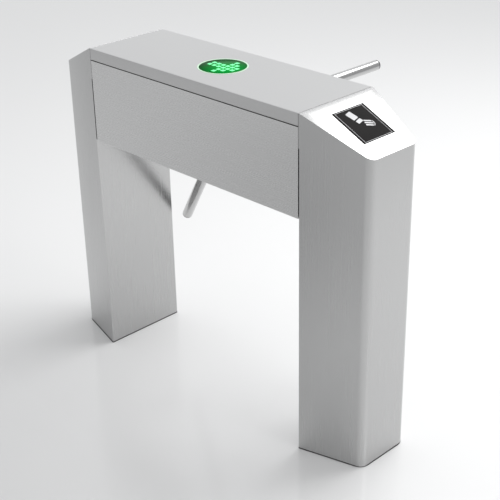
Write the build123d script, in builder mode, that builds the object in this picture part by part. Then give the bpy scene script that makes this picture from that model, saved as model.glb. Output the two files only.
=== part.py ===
from build123d import *
import os
from math import acos, atan2, cos, degrees, hypot, pi, radians, sin, sqrt, tan

os.makedirs("parts", exist_ok=True)

# Overall sizes. X runs along the cabinet, +Y is the walkway side, Z is up, the floor is z = 0.
length = 1200.0
width = 276.0
end_width = 174.0
height = 980.0
pedestal_length = 188.0
slope_drop = 88.0
bridge_bottom = 700.0
lid_depth = 34.0
sheet = 2.0
corner_radius = 26.0

# Gaps between the cabinet's parts
joint_gap = 3.5
head_gap = 1.0
head_band = 91.0
seam_gap = 1.0
door_gap = 1.5
run = 0.05
clear = 0.3
touch_gap = 0.4

# Tripod: the axis slopes at 45 degrees and the arms stand at 45 degrees to it
apex_y = 24.0
apex_z = 834.0
tilt = 45.0
arm_reach = 635.0
arm_radius = 16.0
arm_wall = 2.0
arm_start = 114.0
arm_count = 3
cap_length = 8.0
socket_radius = 22.0
socket_end = 150.0
hub_back = 66.0
hub_front = 104.0
hub_slant = 160.0
hub_cap_radius = 48.0
hub_cap_height = 8.0
pocket_face = 62.0
pocket_half = 215.0

# Shaft and bearings
shaft_radius = 15.0
shaft_rear = -58.0
flange_radius = 36.0
flange_back = 63.0
flange_front = 70.0
shoulder_radius = 20.0
bearing_radius = 27.5
bearing_width = 13.0
bearing_lip = 1.0
boss_radius = 35.0

# Mechanism plates
front_plate_back = 50.0
front_plate_x = 240.0
front_plate_y = 184.0
rear_plate_front = -40.0
plate_thick = 8.0
rear_plate_low = -82.0
rear_plate_high = 115.0
post_x = 108.0
post_ys = (-70.0, 40.0)
post_radius = 7.0

# Ratchet wheels, cam and gear on the shaft, as distances along the axis
ratchet_tip = 66.0
ratchet_root = 56.0
ratchet_teeth = 12
ratchet_land = 4.0
ratchet_thick = 8.0
entry_level = 8.0
exit_level = -6.0
wheel_hub_radius = 24.0
cam_level = 22.0
cam_radius = 44.0
cam_notch = 12.0
roller_radius = 9.0
gear_level = -24.0
gear_thick = 8.0
gear_module = 2.5
gear_teeth = 36
pinion_teeth = 12
pressure = 20.0
backlash = 0.35

# Lock pawls and solenoids
pawl_x = 60.0
pawl_y = 52.0
pawl_release = 10.0
pawl_boss = 8.0
pawl_pin = 4.0
pawl_tip_low = 0.9
pawl_tip_width = 6.0
pawl_tip_depth = 59.6
tail_reach = 30.0
tail_half = 5.0
plunger_radius = 4.0
plunger_length = 40.0
coil_x = 30.0
coil_y = 46.0
coil_z = 28.0
coil_front = 66.0

# Lid, its gooseneck hinges, display and locks
hinge_inset = 25.0
hinge_drop = 60.0
hinge_x = 330.0
neck_width = 20.0
neck_thick = 12.0
neck_offset = 66.0
hinge_pin = 4.0
relief_long = 50.0
relief_high = 6.0
display_radius = 70.0
display_rim = 4.0
display_proud = 0.6
cup_depth = 18.0
lock_x = 250.0
lock_radius = 9.0
lock_head = 12.0
hook_inner = 25.5
hook_outer = 31.0
hook_sweep = 25.0
tongue_width = 8.0
tongue_thick = 3.0
tongue_back = 9.0
keeper_radius = 3.0

# Card readers on the sloping ends
reader_size = 118.0
reader_inset = 36.0
reader_glass = 4.0
reader_box = 100.0
reader_depth = 22.0

# Service doors on the tapered walkway faces
door_width = 112.0
door_low = 90.0
door_high = 450.0
door_shift = 8.0
knuckle_radius = 5.0
knuckle_length = 50.0
knuckle_lift = 5.5
door_pin = 2.5
door_lock_inset = 20.0
door_tongue = 30.0

# Base plates and fixings
base_thick = 8.0
anchor_outer_x = 570.0
anchor_inner_x = 440.0
anchor_y = 60.0
anchor_hole = 13.0
cable_slot = (60.0, 40.0)
bolt_radius = 5.0
bolt_head = 8.5
bolt_head_height = 6.0
port_radius = 25.0
port_z = 800.0

# Worked-out sizes
half = length / 2
inner_x = half - pedestal_length
bridge_end = inner_x - joint_gap
head_x = bridge_end + head_gap
seam = height - lid_depth
slope = degrees(atan2(slope_drop, pedestal_length))
lock_z = seam + lid_depth / 2
tail_x = pawl_x + tail_reach
keeper_drop = hook_inner - keeper_radius - 1.5
keeper_shift = tongue_width / 2 + keeper_radius + 1
floor_z = bridge_bottom + sheet
board_x, board_y, board_z = 310.0, -25.0, floor_z + 12
taper = degrees(atan2((width - end_width) / 2, pedestal_length))
slope_length = hypot(slope_drop, pedestal_length)
pocket_line = apex_z - apex_y


def pocket_outline(face):
    """Triangle under the sloping wall that stands `face` along the tripod axis from its apex."""
    rise = pocket_line - face * sqrt(2)
    low = bridge_bottom - 40
    back = width / 2 + 40
    return [(low - rise, low), (back, low), (back, back + rise)]


def ratchet_outline(side):
    """Saw-tooth outline; `side` 1 or -1 sets which way the steep faces look."""
    points = []
    step = 360 / ratchet_teeth
    for tooth in range(ratchet_teeth):
        start = tooth * step
        for radius, turn in (
            (ratchet_tip, start - ratchet_land),
            (ratchet_tip, start),
            (ratchet_root, start),
        ):
            points.append((side * radius * cos(radians(turn)), radius * sin(radians(turn))))
    return points


def flank_angle(radius, pitch, teeth):
    """Half of one tooth's angle at a radius, for an involute tooth thinned by the backlash."""
    thickness = pi * gear_module / 2 - backlash
    base = pitch * cos(radians(pressure))
    turn = acos(min(1.0, base / max(radius, base)))
    at_pitch = tan(radians(pressure)) - radians(pressure)
    return thickness / 2 / pitch + at_pitch - (tan(turn) - turn)


def gear_outline(teeth, phase):
    """Outline of a spur gear; `phase` in degrees is where the first tooth stands."""
    pitch = gear_module * teeth / 2
    stations = (pitch - 1.1 * gear_module, pitch, pitch + 0.8 * gear_module)
    points = []
    for tooth in range(teeth):
        middle = radians(phase + tooth * 360 / teeth)
        rising = [(r, middle - flank_angle(r, pitch, teeth)) for r in stations]
        falling = [(r, middle + flank_angle(r, pitch, teeth)) for r in reversed(stations)]
        points += [(r * cos(a), r * sin(a)) for r, a in rising + falling]
    return points


# Planes used again and again
tripod = Plane(
    origin=(0, apex_y, apex_z),
    x_dir=(1, 0, 0),
    z_dir=(0, cos(radians(tilt)), -sin(radians(tilt))),
)
axis = tripod.z_dir
spoke_angles = [-90 + i * 360 / arm_count for i in range(arm_count)]
arm_planes = []
for angle in spoke_angles:
    spoke = tripod.x_dir * cos(radians(angle)) + tripod.y_dir * sin(radians(angle))
    arm_planes.append(Plane(origin=tripod.origin, z_dir=(axis + spoke).normalized()))

sides = (("near", 1), ("far", -1))


def slope_plane(side):
    """Plane on a pedestal's sloping top, its x pointing down the slope."""
    return Plane(
        origin=(side * (inner_x + half) / 2, 0, height - slope_drop / 2),
        x_dir=(side * cos(radians(slope)), 0, -sin(radians(slope))),
        z_dir=(side * sin(radians(slope)), 0, cos(radians(slope))),
    )


def door_plane(side):
    """Plane on a pedestal's tapered walkway face at floor level, its y pointing up."""
    normal = (side * sin(radians(taper)), cos(radians(taper)), 0)
    return Plane(
        origin=(side * (inner_x + half) / 2, (width + end_width) / 4, 0),
        x_dir=(-normal[1], normal[0], 0),
        z_dir=normal,
    )


def pedestal_plan(side, inset=0.0):
    """Tapered outline of one pedestal with its rounded outer corners, drawn in by `inset`."""
    with BuildSketch() as plan:
        Polygon(
            (side * inner_x, -width / 2),
            (side * half, -end_width / 2),
            (side * half, end_width / 2),
            (side * inner_x, width / 2),
            align=None,
        )
        fillet([v for v in plan.vertices() if abs(v.X) > half - 1], radius=corner_radius)
        if inset:
            offset(amount=-inset, kind=Kind.INTERSECTION, mode=Mode.REPLACE)
    return plan.sketch


bolt_spots = [(y, z) for y in (-width / 2 + 34, width / 2 - 34) for z in (730, 900)]
reader_middle = reader_inset + reader_size / 2 - slope_length / 2
axis_u = door_shift - door_width / 2 - door_gap / 2
hinge_zs = (door_low + 60, door_high - 60)
lock_u = door_shift + door_width / 2 - door_lock_inset
door_mid = (door_low + door_high) / 2


def hinge_line(side, z):
    """Plane across a door's upright hinge axis, just off the walkway face."""
    spot = door_plane(side).from_local_coords((side * axis_u, z, knuckle_lift))
    return Plane(origin=spot, z_dir=(0, 0, 1))


# ---- Pedestals, readers and doors at both ends ----
for name, side in sides:
    top_line = sheet / cos(radians(slope))
    with BuildPart() as inside:
        add(pedestal_plan(side, sheet))
        extrude(amount=height)
        with BuildSketch(Plane.XZ):
            Polygon(
                (side * (inner_x - 10), height - top_line + 10 * tan(radians(slope))),
                (side * (half + 10), height - top_line - slope_drop - 10 * tan(radians(slope))),
                (side * (half + 10), height + 20),
                (side * (inner_x - 10), height + 20),
                align=None,
            )
        extrude(amount=width, both=True, mode=Mode.SUBTRACT)

    with BuildPart() as pedestal_shell:
        add(pedestal_plan(side))
        extrude(amount=height)
        with BuildSketch(Plane.XY.offset(height - head_band)):
            with Locations((side * (head_x + inner_x) / 2, 0)):
                Rectangle(inner_x - head_x, width)
        extrude(amount=head_band)
        with BuildSketch(Plane.XZ):
            Polygon(
                (side * inner_x, height),
                (side * (half + 10), height - slope_drop - 10 * tan(radians(slope))),
                (side * (half + 10), height + 20),
                (side * inner_x, height + 20),
                align=None,
            )
        extrude(amount=width, both=True, mode=Mode.SUBTRACT)
        add(inside.part, mode=Mode.SUBTRACT)
        with BuildSketch(slope_plane(side)):
            with Locations((reader_inset + reader_size / 2 - slope_length / 2, 0)):
                Rectangle(reader_size, reader_size)
        extrude(amount=-2 * sheet, mode=Mode.SUBTRACT)
        with BuildSketch(door_plane(side)):
            with Locations((side * door_shift, door_mid)):
                Rectangle(door_width + 2 * door_gap, door_high - door_low + 2 * door_gap)
        extrude(amount=-2 * sheet, mode=Mode.SUBTRACT)
        with BuildSketch(Plane.YZ.offset(side * inner_x)):
            with Locations(*bolt_spots):
                Circle(bolt_radius)
            with Locations((0, port_z)):
                Circle(port_radius)
        extrude(amount=8, both=True, mode=Mode.SUBTRACT)
    pedestal_shell.part.label = f"{name}_pedestal_shell"
    export_step(pedestal_shell.part, f"parts/{name}_pedestal_shell.step")

    # Door, its hinge axis standing just off the face at the outer edge
    with BuildPart() as door:
        with BuildSketch(door_plane(side).offset(-sheet)):
            with Locations((side * door_shift, door_mid)):
                Rectangle(door_width, door_high - door_low)
        extrude(amount=sheet)
        with BuildSketch(door_plane(side)):
            with Locations(*[(side * (axis_u + 10), z) for z in hinge_zs]):
                Rectangle(20, knuckle_length / 2 - 2 * clear)
        extrude(amount=sheet)
        for z in hinge_zs:
            with BuildSketch(hinge_line(side, z).offset(-knuckle_length / 4 + clear)):
                Circle(knuckle_radius)
            extrude(amount=knuckle_length / 2 - 2 * clear)
        for z in hinge_zs:
            with BuildSketch(hinge_line(side, z).offset(-knuckle_length / 2)):
                Circle(door_pin + run)
            extrude(amount=knuckle_length, mode=Mode.SUBTRACT)
        with BuildSketch(door_plane(side)):
            with Locations((side * lock_u, door_mid)):
                Circle(lock_radius - 1)
        extrude(amount=-2 * sheet, mode=Mode.SUBTRACT)
    door.part.label = f"{name}_door"
    export_step(door.part, f"parts/{name}_door.step")

    # Key lock in the door: head outside, barrel through, tongue hanging down while unlocked
    lock_spot = (side * lock_u, door_mid)
    with BuildPart() as door_lock:
        with BuildSketch(door_plane(side)):
            with Locations(lock_spot):
                Circle(lock_radius)
        extrude(amount=3)
        with BuildSketch(door_plane(side)):
            with Locations(lock_spot):
                Circle(lock_radius - 1 - run)
        extrude(amount=-lock_head)
        with BuildSketch(door_plane(side).offset(-lock_head + tongue_thick)):
            with Locations((lock_spot[0], lock_spot[1] - door_tongue / 2)):
                Rectangle(tongue_width, door_tongue)
        extrude(amount=-tongue_thick)
    door_lock.part.label = f"{name}_door_lock"
    export_step(door_lock.part, f"parts/{name}_door_lock.step")

# ---- Parts that come in matching pairs, one node for each kind ----
with BuildPart() as base_plates:
    for name, side in sides:
        add(pedestal_plan(side, sheet))
        extrude(amount=base_thick)
        with BuildSketch():
            with Locations(
                *[(side * x, y) for x in (anchor_outer_x, anchor_inner_x) for y in (-anchor_y, anchor_y)]
            ):
                Circle(anchor_hole / 2)
            with Locations((side * (anchor_outer_x + anchor_inner_x) / 2, 0)):
                SlotOverall(cable_slot[0], cable_slot[1])
        extrude(amount=base_thick, mode=Mode.SUBTRACT)
base_plates.part.label = "base_plates"
export_step(base_plates.part, "parts/base_plates.step")

with BuildPart() as reader_windows:
    for name, side in sides:
        with BuildSketch(slope_plane(side).offset(-reader_glass)):
            with Locations((reader_middle, 0)):
                Rectangle(reader_size - 2 * run, reader_size - 2 * run)
        extrude(amount=reader_glass)
reader_windows.part.label = "reader_windows"
export_step(reader_windows.part, "parts/reader_windows.step")

with BuildPart() as reader_units:
    for name, side in sides:
        with BuildSketch(slope_plane(side).offset(-reader_glass)):
            with Locations((reader_middle, 0)):
                Rectangle(reader_box, reader_box)
        extrude(amount=-reader_depth)
        with BuildSketch(slope_plane(side).offset(-reader_glass - reader_depth)):
            with Locations((reader_middle + reader_box / 4, 0)):
                Rectangle(reader_box / 5, reader_box / 2)
        extrude(amount=-10)
reader_units.part.label = "reader_units"
export_step(reader_units.part, "parts/reader_units.step")

# Frames glued under the slopes that hold the windows from behind
with BuildPart() as reader_frames:
    for name, side in sides:
        for top, bottom, hole in (
            (-sheet, -reader_glass, reader_size),
            (-reader_glass, -reader_glass - sheet, reader_box + 1),
        ):
            with BuildSketch(slope_plane(side).offset(top)):
                with Locations((reader_middle, 0)):
                    Rectangle(reader_size + 24, reader_size + 24)
                    Rectangle(hole, hole, mode=Mode.SUBTRACT)
            extrude(amount=bottom - top)
reader_frames.part.label = "reader_frames"
export_step(reader_frames.part, "parts/reader_frames.step")

with BuildPart() as door_hinges:
    for name, side in sides:
        for z in hinge_zs:
            with BuildSketch(hinge_line(side, z).offset(-knuckle_length / 2)):
                Circle(door_pin)
            extrude(amount=knuckle_length)
            for low in (-knuckle_length / 2, knuckle_length / 4):
                with BuildSketch(hinge_line(side, z).offset(low)):
                    Circle(knuckle_radius)
                extrude(amount=knuckle_length / 4)
                with BuildSketch(door_plane(side)):
                    with Locations((side * (axis_u - 8), z + low + knuckle_length / 8)):
                        Rectangle(16, knuckle_length / 4)
                extrude(amount=sheet)
door_hinges.part.label = "door_hinges"
export_step(door_hinges.part, "parts/door_hinges.step")

# Bolts: bridge to pedestals with spacers in the joint gap, and front plate to the sloping wall
plate_bolts = [(x, y) for x in (-100, 100) for y in (-76, 76)]
low_spots = [spot for spot in bolt_spots if spot[1] < height - head_band]
with BuildPart() as cabinet_bolts:
    for name, side in sides:
        for start, long, radius, spots in (
            (bridge_end - sheet - bolt_head_height, bolt_head_height, bolt_head, bolt_spots),
            (bridge_end - sheet, 2 * sheet + joint_gap, bolt_radius, bolt_spots),
            (bridge_end, head_gap, bolt_head + 2, bolt_spots),
            (bridge_end, joint_gap, bolt_head + 2, low_spots),
            (inner_x + sheet, bolt_head_height + 2, bolt_head, bolt_spots),
        ):
            with BuildSketch(Plane.YZ.offset(side * start)):
                with Locations(*spots):
                    Circle(radius)
            extrude(amount=side * long)
    with BuildSketch(tripod.offset(front_plate_back)):
        with Locations(*plate_bolts):
            Circle(bolt_radius)
    extrude(amount=pocket_face - front_plate_back)
    with BuildSketch(tripod.offset(pocket_face)):
        with Locations(*plate_bolts):
            Circle(bolt_head)
    extrude(amount=clear * 8)
cabinet_bolts.part.label = "cabinet_bolts"
export_step(cabinet_bolts.part, "parts/cabinet_bolts.step")

# ---- Bridge ----
with BuildPart() as pocket_outside:
    with BuildSketch(Plane.YZ):
        Polygon(*pocket_outline(pocket_face), align=None)
    extrude(amount=pocket_half, both=True)

with BuildPart() as pocket_inside:
    with BuildSketch(Plane.YZ):
        Polygon(*pocket_outline(pocket_face - sheet), align=None)
    extrude(amount=pocket_half + sheet, both=True)

with BuildPart() as bridge_inside:
    with BuildSketch(Plane.XY.offset(bridge_bottom + sheet)):
        Rectangle(2 * (bridge_end - sheet), width - 2 * sheet)
    extrude(amount=height)
    add(pocket_inside.part, mode=Mode.SUBTRACT)

with BuildPart() as bridge_shell:
    with BuildSketch(Plane.XY.offset(bridge_bottom)):
        Rectangle(2 * bridge_end, width)
    extrude(amount=seam - bridge_bottom)
    add(pocket_outside.part, mode=Mode.SUBTRACT)
    add(bridge_inside.part, mode=Mode.SUBTRACT)
    with BuildSketch(tripod.offset(pocket_face)):
        Circle(boss_radius)
        with Locations(*plate_bolts):
            Circle(bolt_radius)
    extrude(amount=-2 * sheet, mode=Mode.SUBTRACT)
    for side in (1, -1):
        with BuildSketch(Plane.YZ.offset(side * (bridge_end - 2 * sheet))):
            with Locations(*bolt_spots):
                Circle(bolt_radius)
            with Locations((0, port_z)):
                Circle(port_radius)
        extrude(amount=side * 4 * sheet, mode=Mode.SUBTRACT)
    # Welded keeper pins for the lid's hooks, and studs for the control board
    for side in (1, -1):
        with BuildSketch(Plane.XZ.offset(-width / 2 + sheet)):
            with Locations((side * lock_x - keeper_shift, lock_z - keeper_drop)):
                Circle(keeper_radius)
        extrude(amount=tongue_back + tongue_thick)
    with BuildSketch(Plane.XY.offset(floor_z)):
        with Locations(*[(board_x + sx * 62, board_y + sy * 48) for sx in (-1, 1) for sy in (-1, 1)]):
            Circle(4)
    extrude(amount=board_z - floor_z)
bridge_shell.part.label = "bridge_shell"
export_step(bridge_shell.part, "parts/bridge_shell.step")

# Rubber sleeves that carry the wires from the bridge into each pedestal
with BuildPart() as cable_sleeves:
    for side in (1, -1):
        with BuildSketch(Plane.YZ.offset(side * (bridge_end - sheet - 4))):
            with Locations((0, port_z)):
                Circle(port_radius)
                Circle(port_radius - 3, mode=Mode.SUBTRACT)
        extrude(amount=side * (4 + 2 * sheet + joint_gap + 4))
cable_sleeves.part.label = "cable_sleeves"
export_step(cable_sleeves.part, "parts/cable_sleeves.step")

# Corner rests with rubber buffers under the lid
buffer_top = height - sheet - touch_gap
rest_spots = [(sx, sy) for sx in (-1, 1) for sy in (-1, 1)]
with BuildPart() as lid_rests:
    for sx, sy in rest_spots:
        with BuildSketch(Plane.XY.offset(seam - 50)):
            with Locations((sx * (bridge_end - sheet - 1.5), sy * (width / 2 - 70))):
                Rectangle(3, 30)
        extrude(amount=buffer_top - 8 - seam + 50)
        with BuildSketch(Plane.XY.offset(buffer_top - 11)):
            with Locations((sx * (bridge_end - sheet - 12), sy * (width / 2 - 70))):
                Rectangle(24, 30)
        extrude(amount=3)
lid_rests.part.label = "lid_rests"
export_step(lid_rests.part, "parts/lid_rests.step")

with BuildPart() as lid_buffers:
    with BuildSketch(Plane.XY.offset(buffer_top - 8)):
        with Locations(*[(sx * (bridge_end - sheet - 13), sy * (width / 2 - 70)) for sx, sy in rest_spots]):
            Circle(7)
    extrude(amount=8)
lid_buffers.part.label = "lid_buffers"
export_step(lid_buffers.part, "parts/lid_buffers.step")

# ---- Lid ----
lid_under = height - sheet
flange_bottom = seam + seam_gap
with BuildPart() as lid_shell:
    with BuildSketch(Plane.XY.offset(flange_bottom)):
        Rectangle(2 * bridge_end, width)
    extrude(amount=height - flange_bottom)
    fillet(lid_shell.edges().filter_by(Axis.X).group_by(Axis.Z)[-1], radius=3)
    with BuildSketch(Plane.XY.offset(flange_bottom)):
        Rectangle(2 * (bridge_end - sheet), width - 2 * sheet)
    extrude(amount=lid_under - flange_bottom, mode=Mode.SUBTRACT)
    with BuildSketch(Plane.XY.offset(height)):
        Circle(display_radius)
    extrude(amount=-2 * sheet, mode=Mode.SUBTRACT)
    with BuildSketch(Plane.XZ.offset(-width / 2)):
        with Locations(*[(sx * lock_x, seam + lid_depth / 2) for sx in (-1, 1)]):
            Circle(lock_radius - 1)
    extrude(amount=2 * sheet, mode=Mode.SUBTRACT)
    # The end flanges are cut back near the hinges, where they swing down past the bridge
    with BuildSketch(Plane.XY.offset(flange_bottom)):
        with Locations(*[(sx * bridge_end, -width / 2 + sheet + relief_long / 2) for sx in (-1, 1)]):
            Rectangle(2 * sheet, relief_long)
    extrude(amount=relief_high, mode=Mode.SUBTRACT)
lid_shell.part.label = "lid_shell"
export_step(lid_shell.part, "parts/lid_shell.step")

with BuildPart() as display_ring:
    with BuildSketch(Plane.XY.offset(lid_under)):
        Circle(display_radius)
        Circle(display_radius - display_rim, mode=Mode.SUBTRACT)
    extrude(amount=sheet + display_proud)
display_ring.part.label = "display_ring"
export_step(display_ring.part, "parts/display_ring.step")

with BuildPart() as display_window:
    with BuildSketch(Plane.XY.offset(lid_under)):
        Circle(display_radius - display_rim)
    extrude(amount=sheet)
display_window.part.label = "display_window"
export_step(display_window.part, "parts/display_window.step")

with BuildPart() as display_cup:
    with BuildSketch(Plane.XY.offset(lid_under - cup_depth)):
        Circle(display_radius + 6)
    extrude(amount=cup_depth)
    with BuildSketch(Plane.XY.offset(lid_under - cup_depth + sheet)):
        Circle(display_radius - display_rim)
    extrude(amount=cup_depth, mode=Mode.SUBTRACT)
display_cup.part.label = "display_cup"
export_step(display_cup.part, "parts/display_cup.step")

with BuildPart() as display_board:
    with BuildSketch(Plane.XY.offset(lid_under - cup_depth + sheet)):
        Circle(display_radius - display_rim - clear)
    extrude(amount=cup_depth - sheet - 4)
display_board.part.label = "display_board"
export_step(display_board.part, "parts/display_board.step")

# Gooseneck hinges hidden inside the front wall
pivot_y = -width / 2 + hinge_inset
pivot_z = flange_bottom - hinge_drop
neck_reach = neck_offset + neck_thick
with BuildPart() as lid_goosenecks:
    for sx in (-1, 1):
        with BuildSketch(Plane.YZ.offset(sx * hinge_x - neck_width / 2)):
            with Locations((pivot_y, pivot_z)):
                Circle(neck_thick / 2 + 2)
            with Locations((pivot_y + neck_reach / 2, pivot_z)):
                Rectangle(neck_reach, neck_thick)
            with Locations((pivot_y + neck_offset + neck_thick / 2, (pivot_z + lid_under) / 2)):
                Rectangle(neck_thick, lid_under - pivot_z)
            with Locations((pivot_y + neck_offset + neck_thick / 2 + 15, lid_under - 2)):
                Rectangle(neck_thick + 30, 4)
            with Locations((pivot_y, pivot_z)):
                Circle(hinge_pin + run, mode=Mode.SUBTRACT)
        extrude(amount=neck_width)
lid_goosenecks.part.label = "lid_goosenecks"
export_step(lid_goosenecks.part, "parts/lid_goosenecks.step")

with BuildPart() as lid_hinge_brackets:
    for sx in (-1, 1):
        for gap in (-1, 1):
            cheek = sx * hinge_x + gap * (neck_width / 2 + clear + 2)
            with BuildSketch(Plane.YZ.offset(cheek - 2)):
                with Locations(((pivot_y - width / 2 + sheet) / 2 + 4, pivot_z)):
                    Rectangle(hinge_inset - sheet + 8, 24)
            extrude(amount=4)
        with BuildSketch(Plane.YZ.offset(sx * hinge_x - neck_width / 2 - 10)):
            with Locations((pivot_y, pivot_z)):
                Circle(hinge_pin)
        extrude(amount=neck_width + 20)
        with BuildSketch(Plane.XZ.offset(width / 2 - sheet)):
            with Locations((sx * hinge_x, pivot_z)):
                Rectangle(neck_width + 30, 60)
        extrude(amount=-3)
lid_hinge_brackets.part.label = "lid_hinge_brackets"
export_step(lid_hinge_brackets.part, "parts/lid_hinge_brackets.step")

# Lid locks: the hook lies level inside the lid while unlocked and turns down under its keeper
for name, side in sides:
    lock_face = Plane(origin=(side * lock_x, width / 2, lock_z), x_dir=(1, 0, 0), z_dir=(0, -1, 0))
    with BuildPart() as lid_lock:
        with BuildSketch(lock_face):
            Circle(lock_radius)
        extrude(amount=-3)
        with BuildSketch(lock_face):
            Circle(lock_radius - 1 - run)
        extrude(amount=tongue_back + tongue_thick)
        with BuildSketch(lock_face.offset(tongue_back)):
            with Locations((hook_outer / 2, 0)):
                Rectangle(hook_outer, tongue_width)
            with BuildLine():
                start = -degrees(atan2(tongue_width / 2, hook_inner)) - hook_sweep
                CenterArc((0, 0), hook_outer, start, hook_sweep + 10)
                CenterArc((0, 0), hook_inner, start, hook_sweep + 10)
                for turn in (start, start + hook_sweep + 10):
                    Line(
                        (hook_inner * cos(radians(turn)), hook_inner * sin(radians(turn))),
                        (hook_outer * cos(radians(turn)), hook_outer * sin(radians(turn))),
                    )
            make_face()
        extrude(amount=tongue_thick)
    lid_lock.part.label = f"{name}_lid_lock"
    export_step(lid_lock.part, f"parts/{name}_lid_lock.step")


# ---- Mechanism frame inside the bridge ----
bearing_front = front_plate_back - bearing_lip - bearing_width
with BuildPart() as front_plate:
    with BuildSketch(tripod.offset(front_plate_back)):
        Rectangle(front_plate_x, front_plate_y)
        with Locations(*plate_bolts):
            Circle(bolt_radius, mode=Mode.SUBTRACT)
    extrude(amount=pocket_face - sheet - front_plate_back)
    with BuildSketch(tripod.offset(front_plate_back)):
        Circle(boss_radius)
    extrude(amount=-bearing_width - 2 * bearing_lip)
    with BuildSketch(tripod.offset(front_plate_back - bearing_lip)):
        Circle(bearing_radius)
    extrude(amount=-bearing_width - 2 * bearing_lip, mode=Mode.SUBTRACT)
    with BuildSketch(tripod.offset(pocket_face)):
        Circle((bearing_radius + shaft_radius) / 2)
    extrude(amount=-boss_radius, mode=Mode.SUBTRACT)
front_plate.part.label = "front_plate"
export_step(front_plate.part, "parts/front_plate.step")

rear_bearing_back = rear_plate_front - plate_thick / 2
with BuildPart() as rear_plate:
    with BuildSketch(tripod.offset(rear_plate_front)):
        with Locations((0, (rear_plate_high + rear_plate_low) / 2)):
            Rectangle(front_plate_x, rear_plate_high - rear_plate_low)
    extrude(amount=-plate_thick)
    with BuildSketch(tripod.offset(rear_plate_front)):
        Circle(boss_radius)
    extrude(amount=bearing_width - plate_thick / 2 + bearing_lip)
    with BuildSketch(tripod.offset(rear_bearing_back)):
        Circle(bearing_radius)
    extrude(amount=bearing_width + 2 * bearing_lip, mode=Mode.SUBTRACT)
    with BuildSketch(tripod.offset(rear_plate_front - plate_thick)):
        Circle((bearing_radius + shaft_radius) / 2)
        with Locations(
            (gear_module * (gear_teeth + pinion_teeth) / 2, 0),
            (-gear_module * (gear_teeth + pinion_teeth) / 2, 0),
        ):
            Circle(6)
    extrude(amount=plate_thick, mode=Mode.SUBTRACT)
    # Welded blocks that carry the two solenoids
    for side, level in ((1, entry_level), (-1, exit_level)):
        with BuildSketch(tripod.offset(rear_plate_front)):
            with Locations((side * tail_x, coil_front + coil_y / 2)):
                Rectangle(coil_x - 8, coil_y - 16)
        extrude(amount=level + ratchet_thick / 2 - coil_z / 2 - rear_plate_front)
rear_plate.part.label = "rear_plate"
export_step(rear_plate.part, "parts/rear_plate.step")

with BuildPart() as shaft_bearings:
    for level in (bearing_front, rear_bearing_back):
        with BuildSketch(tripod.offset(level)):
            Circle(bearing_radius)
            Circle(shaft_radius + run, mode=Mode.SUBTRACT)
        extrude(amount=bearing_width)
shaft_bearings.part.label = "shaft_bearings"
export_step(shaft_bearings.part, "parts/shaft_bearings.step")

# Posts between the plates, the pawls' shouldered pins and the index lever's pin
roller_y = -(cam_radius + roller_radius + 2 * clear)
lever_pivot = (-58.0, -60.0)
lever_back = cam_level + gear_thick + touch_gap
lever_thick = 5.0
with BuildPart() as mechanism_posts:
    with BuildSketch(tripod.offset(rear_plate_front)):
        with Locations(*[(sx * post_x, y) for sx in (-1, 1) for y in post_ys]):
            Circle(post_radius)
    extrude(amount=front_plate_back - rear_plate_front)
    for side, level in ((1, entry_level), (-1, exit_level)):
        for start, stop, radius in (
            (rear_plate_front, level - touch_gap, pawl_pin + 2.5),
            (level - touch_gap, level + ratchet_thick + touch_gap, pawl_pin),
            (level + ratchet_thick + touch_gap, level + ratchet_thick + 3, pawl_pin + 2.5),
        ):
            with BuildSketch(tripod.offset(start)):
                with Locations((side * pawl_x, pawl_y)):
                    Circle(radius)
            extrude(amount=stop - start)
    with BuildSketch(tripod.offset(front_plate_back)):
        with Locations(lever_pivot):
            Circle(3.5)
    extrude(amount=lever_back - front_plate_back)
    with BuildSketch(tripod.offset(lever_back + lever_thick)):
        with Locations(lever_pivot):
            Circle(6)
    extrude(amount=front_plate_back - lever_back - lever_thick)
mechanism_posts.part.label = "mechanism_posts"
export_step(mechanism_posts.part, "parts/mechanism_posts.step")

# ---- Turning tripod ----
with BuildPart() as tripod_shaft:
    with BuildSketch(tripod.offset(shaft_rear)):
        Circle(shaft_radius)
    extrude(amount=flange_back - shaft_rear)
    with BuildSketch(tripod.offset(flange_back)):
        Circle(flange_radius)
    extrude(amount=flange_front - flange_back)
    with BuildSketch(tripod.offset(cam_level + gear_thick)):
        Circle(shoulder_radius)
    extrude(amount=bearing_front - touch_gap - cam_level - gear_thick)
tripod_shaft.part.label = "tripod_shaft"
export_step(tripod_shaft.part, "parts/tripod_shaft.step")

with BuildPart() as shaft_nut:
    with BuildSketch(tripod.offset(rear_plate_front - plate_thick - touch_gap)):
        RegularPolygon(shoulder_radius, 6)
        Circle(shaft_radius, mode=Mode.SUBTRACT)
    extrude(amount=-plate_thick)
shaft_nut.part.label = "shaft_nut"
export_step(shaft_nut.part, "parts/shaft_nut.step")

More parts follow.
